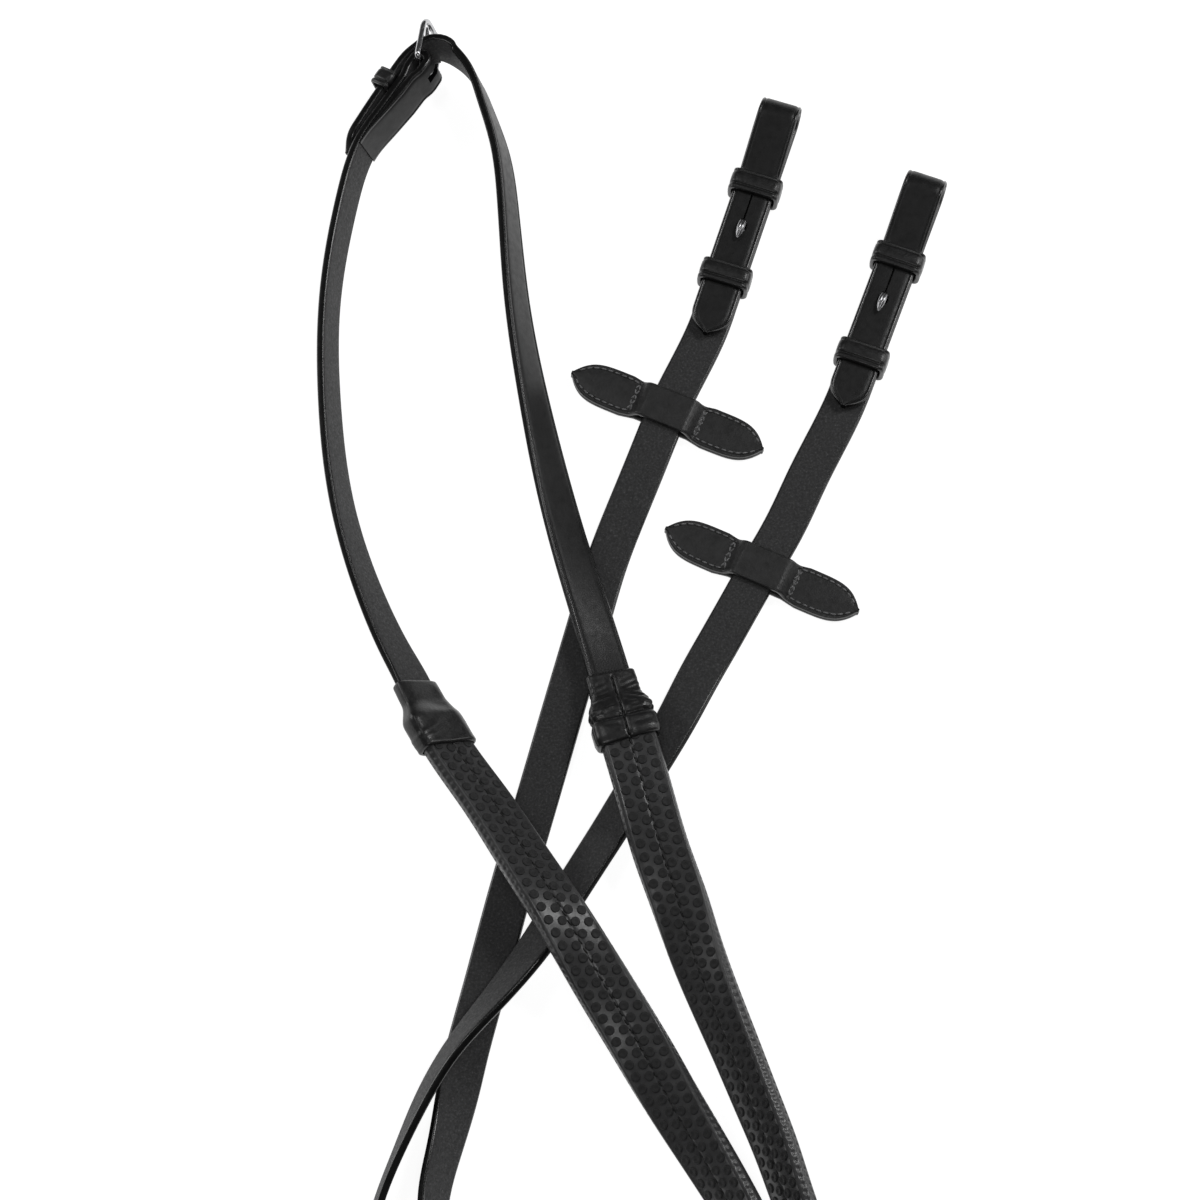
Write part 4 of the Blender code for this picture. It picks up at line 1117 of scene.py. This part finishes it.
def make_sleeve(side, place, line, strap_end, grip_end, relief, slant, finishes):
    """Relief is a function of the distance from the strap end, the place across, and the face."""
    length = abs(grip_end - strap_end)
    sign = 1 if grip_end > strap_end else -1
    count = int(length / SLEEVE_STEP)
    outer_rings, inner_rings = [], []
    for i in range(count + 1):
        run = length * i / count
        half_width, half_thickness = sleeve_sizes(run)
        lip = 0.55 + 0.45 * min(1, min(run, length - run) / (0.6 * MM))
        outer, inner = [], []
        for cx, cy in sleeve_ring():
            x, y = half_width * cx, half_thickness * cy
            shift = slant * x * smooth_step(run, 0.3 * length, length) * sign
            here = line.at(strap_end + run * sign + shift)
            grow = (SLEEVE_WALL + relief(run / MM, x / MM, y > 0) * MM * lip) * lip
            grow = max(grow, 0.35 * MM)
            inner.append(here.point + here.across * x + here.face * y)
            out_x = x + grow * cx
            out_y = y + grow * cy
            outer.append(here.point + here.across * out_x + here.face * out_y)
        outer_rings.append(outer)
        inner_rings.append(inner)
    batch = Batch()
    batch.tube(outer_rings, inner_rings)
    return batch.piece(f"{side}_{place}_sleeve_leather", [finishes["trim"]], "reins", "trim_leather",
                       [f"{side}_{place}_sleeve"], sharp=70)


def make_sleeve_seam(side, place, line, strap_end, grip_end, finishes):
    """Chain stitches closing the gathered sleeve along its middle."""
    batch = Batch()
    sign = 1 if grip_end > strap_end else -1
    length = abs(grip_end - strap_end)
    run = 2.6 * MM
    turn = 1
    while run < length - 0.8 * MM:
        here = line.at(strap_end + run * sign)
        travel = here.across.cross(here.face) * sign
        half_thickness = sleeve_sizes(run)[1]
        lift = half_thickness + SLEEVE_WALL * 0.72
        band = 0.4 * MM * smooth_step(run / MM, 19.8, 21.6)
        axis = (travel + here.across * 0.32 * turn).normalized()
        centre = here.point + here.face * (lift + band) + here.across * (0.16 * MM * turn)
        capsule(batch, centre, axis, here.face, 1.9 * MM, 0.62 * MM, 0.6 * MM)
        run += 1.55 * MM
        turn = -turn
    return batch.piece(f"{side}_{place}_sleeve_seam", [finishes["thread"]], "reins", "trim_leather")


# ---------------------------------------------------------------- keepers

# The section of a keeper's band: along it, and out from its middle, in millimetres. It has a fine
# upper rim, a flat main face between two grooves, and a wider lip along its lower edge.
KEEPER_SECTION = [
    (-4.4, -0.75), (-4.5, -0.4), (-4.5, 0.35), (-4.35, 0.7), (-4.05, 0.82), (-3.7, 0.74), (-3.45, 0.5),
    (-3.1, 0.48), (-2.8, 0.82), (-2.4, 0.96), (-0.8, 1.02), (0.8, 1.0), (1.5, 0.9), (1.8, 0.6), (1.98, 0.3),
    (2.25, 0.3), (2.45, 0.6), (2.8, 0.86), (3.3, 0.94), (3.9, 0.86), (4.3, 0.6), (4.48, 0.2), (4.45, -0.5),
    (4.3, -0.75), (1.6, -0.88), (-1.6, -0.88),
]


def make_band(name, centre, side_axis, rise_axis, half_side, half_rise, radius, wall, band, finish,
              replaced, lower=1):
    """A closed leather loop. Lower says which way along side x rise the creased lip lies."""
    axis = side_axis.cross(rise_axis)
    corners = ((1, 1, 0), (-1, 1, 90), (-1, -1, 180), (1, -1, 270))
    path = []
    for number, (a, b, start) in enumerate(corners):
        middle = centre + side_axis * (a * (half_side - radius)) + rise_axis * (b * (half_rise - radius))
        for i in range(8):
            angle = math.radians(start + 90 * i / 7)
            outward = side_axis * math.cos(angle) + rise_axis * math.sin(angle)
            path.append((middle + outward * radius, outward))
        flat = 2 * ((half_side if number % 2 == 0 else half_rise) - radius)
        along = (-side_axis, -rise_axis, side_axis, rise_axis)[min(number, 3)]
        steps = 9 if number % 2 == 0 else 3
        last, outward = path[-1]
        for i in range(1, steps):
            share = i / steps
            crown = 0.16 * MM * math.sin(math.pi * share)
            path.append((last + along * (flat * share) + outward * crown, outward))
    thin = wall / KEEPER_WALL
    spread = lower * band / KEEPER_BAND
    rings = []
    for point, outward in path:
        rings.append([
            point + axis * (x * MM * spread) + outward * (y * MM * thin) for x, y in KEEPER_SECTION
        ])
    batch = Batch()
    batch.loft(rings, looped=True)
    return batch.piece(name, [finish], "reins", "trim_leather", replaced, sharp=65)


def make_billet_keeper(side, place, distance, finishes):
    heading = SIDES[side]["heading"]
    up = Vector((0, 0, 1))
    cross = up.cross(heading)
    stack = 2 * STRAP_THICKNESS + LAYER_GAP
    half_rise = stack / 2 + GAP + KEEPER_WALL / 2
    half_side = STRAP_WIDTH / 2 + GAP + KEEPER_WALL / 2
    centre = on_billet(side, distance, BILLET_HEIGHT - STRAP_THICKNESS / 2 + stack / 2)
    return make_band(f"{side}_{place}_keeper_band", centre, cross, up, half_side, half_rise, 1.9 * MM,
                     KEEPER_WALL, KEEPER_BAND, finishes["trim"], [f"{side}_billet_{place}_keeper"], lower=-1)


def make_buckle_keeper(finishes):
    along, out = TIP_ROUTE[3]
    centre = at_buckle(along * MM, out * MM + (BUCKLE_KEEPER_PLAY - KEEPER_SLACK) / 2)
    wall = BUCKLE_KEEPER_WALL
    half_rise = (STRAP_THICKNESS + KEEPER_SLACK + BUCKLE_KEEPER_PLAY + wall) / 2
    half_side = STRAP_WIDTH / 2 + KEEPER_SLACK + wall / 2
    return make_band("buckle_keeper_band", centre, BAR_AXIS, OUT_AXIS, half_side, half_rise, 1.5 * MM,
                     wall, BUCKLE_KEEPER_BAND, finishes["trim"], ["buckle_keeper"])


# ---------------------------------------------------------------- hook studs

# The hook's widths and thicknesses at shares of its length, in millimetres
HOOK_SHAPE = (
    (0.0, 2.4, 1.9), (0.2, 2.8, 2.0), (0.4, 3.1, 2.0), (0.6, 3.1, 1.9), (0.75, 2.8, 1.7), (0.88, 2.1, 1.4),
    (0.96, 1.3, 0.95), (1.0, 0.5, 0.45),
)
HOOK_SECTION = (
    (0.0, 0.40), (0.22, 0.5), (0.5, 0.48), (0.8, 0.3), (1.0, 0.0), (0.8, -0.34), (0.4, -0.5), (0.0, -0.5),
)


def make_hook_stud(side, finishes):
    """Plate between the layers, rivet down through the strap, and a hook up through the slit."""
    heading = SIDES[side]["heading"]
    up = Vector((0, 0, 1))
    cross = up.cross(heading)
    top_of_strap = BILLET_HEIGHT + STRAP_THICKNESS / 2
    plate_height = top_of_strap + LAYER_GAP / 2
    batch = Batch()

    def turned(rows, stretch=1.0, sides=28):
        rings = []
        for radius, height in rows:
            ring = []
            for i in range(sides):
                angle = 2 * math.pi * i / sides
                flat = heading * (math.cos(angle) * stretch) + cross * math.sin(angle)
                ring.append(on_billet(side, STUD_DISTANCE, height) + flat * radius)
            rings.append(ring)
        batch.loft(rings)

    half = 0.3 * MM
    turned([(3.2 * MM, plate_height - half), (3.6 * MM, plate_height - half / 2),
            (3.6 * MM, plate_height + half / 2), (3.2 * MM, plate_height + half)], 1.25)
    foot = BILLET_HEIGHT - STRAP_THICKNESS / 2 - GAP - 1.0 * MM
    turned([(0.9 * MM, foot), (1.25 * MM, foot + 0.15 * MM), (1.3 * MM, foot + 0.4 * MM),
            (1.3 * MM, plate_height)])
    rise = LAYER_GAP / 2 + STRAP_THICKNESS - 0.2 * MM
    moves = [(rise, 0), arc(2.0 * MM, math.radians(58)), arc(5.5 * MM, math.radians(38)), (4.0 * MM, 0)]
    path = planar_stations(on_billet(side, STUD_DISTANCE - 1.1 * MM, plate_height), up, -heading, cross,
                           moves, 0.3 * MM)
    shape = np.array(HOOK_SHAPE)
    section = list(HOOK_SECTION) + [(-x, y) for x, y in HOOK_SECTION[1:-1][::-1]]
    rings = []
    for i, station in enumerate(path):
        share = i / (len(path) - 1)
        width = np.interp(share, shape[:, 0], shape[:, 1]) * MM
        thick = np.interp(share, shape[:, 0], shape[:, 2]) * MM
        rings.append([
            station.point + cross * (x * width / 2) - station.face * (y * thick) for x, y in section
        ])
    batch.loft(rings)
    return batch.piece(f"{side}_hook_stud_steel", [finishes["stud"]], "reins", "stud_steel",
                       [f"{side}_hook_stud"], sharp=50)


# ---------------------------------------------------------------- rein stops

STOP_PROFILE = (
    (9.0, 0.9), (2.55, 0.9), (2.25, 0.86), (2.0, 0.7), (1.7, 0.62), (1.4, 0.7), (1.15, 0.86), (0.85, 0.9),
    (0.4, 0.82), (0.12, 0.55), (0.0, 0.1), (0.0, -0.45), (0.15, -0.75), (0.5, -0.9), (9.0, -0.9),
)
STOP_INSET = 1.7 * MM
STOP_STITCH_PITCH = 2.7 * MM
STOP_CROSS_ROWS = (12.9 * MM, 14.3 * MM)


def stop_width(offset):
    """Width of a stop's wing at a distance from its middle."""
    bridge_half, shoulder, end = 11 * MM, 17 * MM, STOP_LENGTH / 2
    offset = abs(offset)
    if offset <= bridge_half:
        return STOP_BRIDGE_WIDTH
    if offset <= shoulder:
        share = (offset - bridge_half) / (shoulder - bridge_half)
        return STOP_BRIDGE_WIDTH + (STOP_WIDTH - STOP_BRIDGE_WIDTH) * share
    share = (offset - shoulder) / (end - shoulder)
    return max(STOP_WIDTH * (1 - share ** 4.6), 1.4 * MM)


def stop_frame(side):
    spec = SIDES[side]
    turn = Matrix.Rotation(spec["stop_skew"], 3, "Z")
    along = turn @ spec["stop_along"]
    return spec["stop_place"], along, along.cross(Vector((0, 0, 1)))


def stop_path(side, height, moves):
    place, along, side_way = stop_frame(side)
    start = place - side_way * (STOP_LENGTH / 2) + Vector((0, 0, height))
    return planar_stations(start, side_way, Vector((0, 0, 1)), along, moves, 0.6 * MM)


def stop_layer(side, name, path, crease, replaced, finishes):
    place, _, side_way = stop_frame(side)
    rings = []
    for station in path:
        offset = (station.point - place).dot(side_way)
        half = stop_width(offset) / 2
        tight = min(1.0, half / (3.6 * MM))
        groove = crease * smooth_step(abs(offset), 11.5 * MM, 13 * MM)
        right = []
        for inset, y in STOP_PROFILE:
            x = half - min(inset * MM * tight, half)
            if 1.0 < inset < 2.5 and y > 0:
                y = 0.9 + (y - 0.9) * groove
            right.append((x, y * MM))
        points = right + [(-x, y) for x, y in right[-2:0:-1]]
        rings.append([station.point + station.across * x + station.face * y for x, y in points])
    batch = Batch()
    batch.loft(rings)
    return batch.piece(name, [finishes["stop"]], f"{side}_stop", "trim_leather", replaced, sharp=60)


def make_stop(side, finishes):
    base = stop_path(side, STOP_LAYER / 2, [(STOP_LENGTH, 0)])
    pieces = [stop_layer(side, f"{side}_stop_base_leather", base, 0, [f"{side}_stop_base"], finishes)]
    low = STOP_LAYER * 1.5 + GAP
    high = BILLET_HEIGHT + STRAP_THICKNESS / 2 + 0.4 * MM + STOP_LAYER / 2
    turn, radius = STOP_STEP_TURN, STOP_STEP_RADIUS
    slant = (high - low - 2 * radius * (1 - math.cos(turn))) / math.sin(turn)
    step_run = 2 * radius * math.sin(turn) + slant * math.cos(turn)
    wing = STOP_LENGTH / 2 - STOP_FLAT - step_run
    moves = [(wing, 0), arc(radius, turn), (slant, 0), arc(radius, -turn), (2 * STOP_FLAT, 0),
             arc(radius, -turn), (slant, 0), arc(radius, turn), (wing, 0)]
    path = stop_path(side, low, moves)
    pieces.append(stop_layer(side, f"{side}_stop_top_leather", path, 1, [f"{side}_stop_top"], finishes))
    pieces.append(make_stop_stitching(side, path, finishes))
    return pieces


def make_stop_stitching(side, path, finishes):
    """Stitches round each wing, and two rows across it beside the bridge."""
    place, _, side_way = stop_frame(side)
    batch = Batch()
    line = Line(measured(path))
    total = line.distances[-1]
    up_lift = 0.84 * MM
    for end_sign in (-1, 1):
        for edge in (-1, 1):
            distance = 2.4 * MM
            last = None
            while True:
                here = line.at(distance if end_sign < 0 else total - distance)
                offset = (here.point - place).dot(side_way)
                if abs(offset) < STOP_CROSS_ROWS[0]:
                    break
                half = stop_width(offset) / 2
                inset = STOP_INSET * min(1.0, half / (3.6 * MM))
                spot = here.point + here.across * (edge * (half - inset)) + here.face * up_lift
                if last is None:
                    last = spot
                elif (spot - last).length >= STOP_STITCH_PITCH:
                    axis = (spot - last).normalized()
                    capsule(batch, (spot + last) / 2, axis, here.face, 2.0 * MM, 0.75 * MM, 0.7 * MM)
                    last = spot
                distance += 0.2 * MM
        for number, row in enumerate(STOP_CROSS_ROWS):
            here = min(path, key=lambda spot: abs((spot.point - place).dot(side_way) - end_sign * row))
            half = stop_width(row) / 2 - STOP_INSET - 0.4 * MM
            count = 5
            for i in range(count):
                x = -half + 2 * half * (i + 0.5) / count
                travel = here.across.cross(here.face)
                lean = 0.5 if (i + number) % 2 else -0.35
                axis = (here.across + travel * lean).normalized()
                spot = here.point + here.across * x + here.face * (up_lift + 0.1 * MM)
                capsule(batch, spot, axis, here.face, 1.9 * MM, 0.7 * MM, 0.6 * MM)
    return batch.piece(f"{side}_stop_stitching", [finishes["bright_thread"]], f"{side}_stop", "trim_leather")


# ---------------------------------------------------------------- buckle

def rounded_rectangle(centre, side, rise, half_side, half_rise, radii, segments):
    """Stations round a rectangle. Radii are for the corners on the +side and the -side."""
    axis = side.cross(rise)
    stations = []
    corners = [(1, 1, 0), (-1, 1, 90), (-1, -1, 180), (1, -1, 270)]
    for sign_side, sign_rise, start in corners:
        radius = radii[0] if sign_side > 0 else radii[1]
        middle = centre + side * sign_side * (half_side - radius) + rise * sign_rise * (half_rise - radius)
        for i in range(segments + 1):
            angle = math.radians(start + 90 * i / segments)
            outward = side * math.cos(angle) + rise * math.sin(angle)
            stations.append(Station(middle + outward * radius, axis, outward, 0))
    return stations


def make_buckle_frame(finishes):
    """A bent wire frame of one slightly flattened round section: bar, two limbs and a straight front, with
    the front corners rounder than the bar's.
    """
    centre = BAR_CENTRE + FRAME_AXIS * (FRAME_REACH / 2)
    path = rounded_rectangle(centre, FRAME_AXIS, BAR_AXIS, FRAME_REACH / 2, FRAME_HALF_WIDTH,
                             (5 * MM, 1.7 * MM), 14)
    dense = []
    for here, after in zip(path, path[1:] + path[:1]):
        dense.append(here)
        gap = (after.point - here.point).length
        steps = int(gap / (1.2 * MM))
        for i in range(1, steps):
            face = here.face.lerp(after.face, i / steps).normalized()
            dense.append(Station(here.point.lerp(after.point, i / steps), here.across, face, 0))
    sides = 18
    rings = []
    for station in dense:
        ring = []
        for i in range(sides):
            angle = 2 * math.pi * i / sides
            flat = station.across * math.cos(angle) + station.face * (math.sin(angle) * 0.94)
            ring.append(station.point + flat * BAR_RADIUS)
        rings.append(ring)
    batch = Batch()
    batch.loft(rings, looped=True)
    return batch.piece("buckle_frame_steel", [finishes["steel"]], "buckle_frame", "buckle_steel",
                       ["buckle_frame"])


# Along the tongue: share of its length, and share of its thickness
TONGUE_TAPER = ((0, 0.95), (0.15, 1), (0.5, 0.95), (0.8, 0.85), (0.92, 0.75), (0.98, 0.55), (1, 0.3))


def make_buckle_tongue(finishes):
    """An eye curled round the bar, and a tapering shank that rests beside the frame's front."""
    batch = Batch()
    inner = BAR_RADIUS + GAP
    outer = inner + 2.2 * MM
    half = TONGUE_WIDTH / 2
    section = [(-half, inner), (-half * 0.96, outer - 0.25 * MM), (-half * 0.75, outer), (half * 0.75, outer),
               (half * 0.96, outer - 0.25 * MM), (half, inner)]
    rings = []
    for i in range(28):
        angle = 2 * math.pi * i / 28
        outward = FRAME_AXIS * math.cos(angle) + FRAME_SIDE * math.sin(angle)
        rings.append([BAR_CENTRE + BAR_AXIS * x + outward * y for x, y in section])
    batch.loft(rings, looped=True)
    root = BAR_CENTRE + FRAME_AXIS * 2.6 * MM
    point = BAR_CENTRE + FRAME_AXIS * (FRAME_REACH + 1.7 * MM) + FRAME_SIDE * TONGUE_OFFSET
    run = point - root
    face = run.normalized().cross(BAR_AXIS)
    rings = []
    for share, scale in TONGUE_TAPER:
        ring = []
        for i in range(14):
            angle = 2 * math.pi * i / 14
            x = math.cos(angle) * TONGUE_WIDTH / 2 * scale
            y = math.sin(angle) * TONGUE_THICKNESS / 2 * scale
            ring.append(root + run * share + BAR_AXIS * x + face * y)
        rings.append(ring)
    batch.loft(rings)
    return batch.piece("buckle_tongue_steel", [finishes["steel"]], "buckle_tongue", "buckle_steel",
                       ["buckle_tongue"])


# ---------------------------------------------------------------- the whole

def sample_path(stations, step=4):
    kept = stations[::step]
    if kept[-1] is not stations[-1]:
        kept.append(stations[-1])
    return [tuple(s.point) for s in kept]


def make_half(side, stations, finishes):
    line = Line(stations)
    strap = make_strap(side, stations, finishes)
    tools = billet_cuts(side) + (fold_cuts() if side == "left" else tip_cuts())
    cut(strap, tools)
    on_strap = make_grip(side, line, finishes)
    _, upper, lower = marks(side)
    relief = plain_relief if side == "left" else gathered_relief
    slant = 0.16 if side == "left" else -0.06
    on_strap.append(make_sleeve(side, "upper", line, *upper, relief, slant, finishes))
    on_strap.append(make_sleeve(side, "lower", line, lower[1], lower[0], relief, 0.0, finishes))
    if side == "right":
        on_strap.append(make_sleeve_seam(side, "upper", line, *upper, finishes))
        on_strap.append(make_sleeve_seam(side, "lower", line, lower[1], lower[0], finishes))
    for place, distance in zip(("upper", "lower"), SIDES[side]["keepers"]):
        on_strap.append(make_billet_keeper(side, place, distance, finishes))
    on_strap.append(make_hook_stud(side, finishes))
    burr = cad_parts[f"{side}_stud_burr"]
    burr.material_slots[0].material = finishes["stud"]
    on_strap.append(burr)
    make_stop(side, finishes)
    near_buckle = -20 * MM if side == "left" else -29.5 * MM
    tuple(line.at(near_buckle).point)
    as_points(sample_path(stations))
    return strap


def main():
    make_camera()
    finishes = make_finishes()
    make_half("left", left_stations(), finishes)
    make_half("right", right_stations(), finishes)
    make_buckle_frame(finishes)
    make_buckle_tongue(finishes)
    make_buckle_keeper(finishes)
    make_floor()
    make_light()


main()
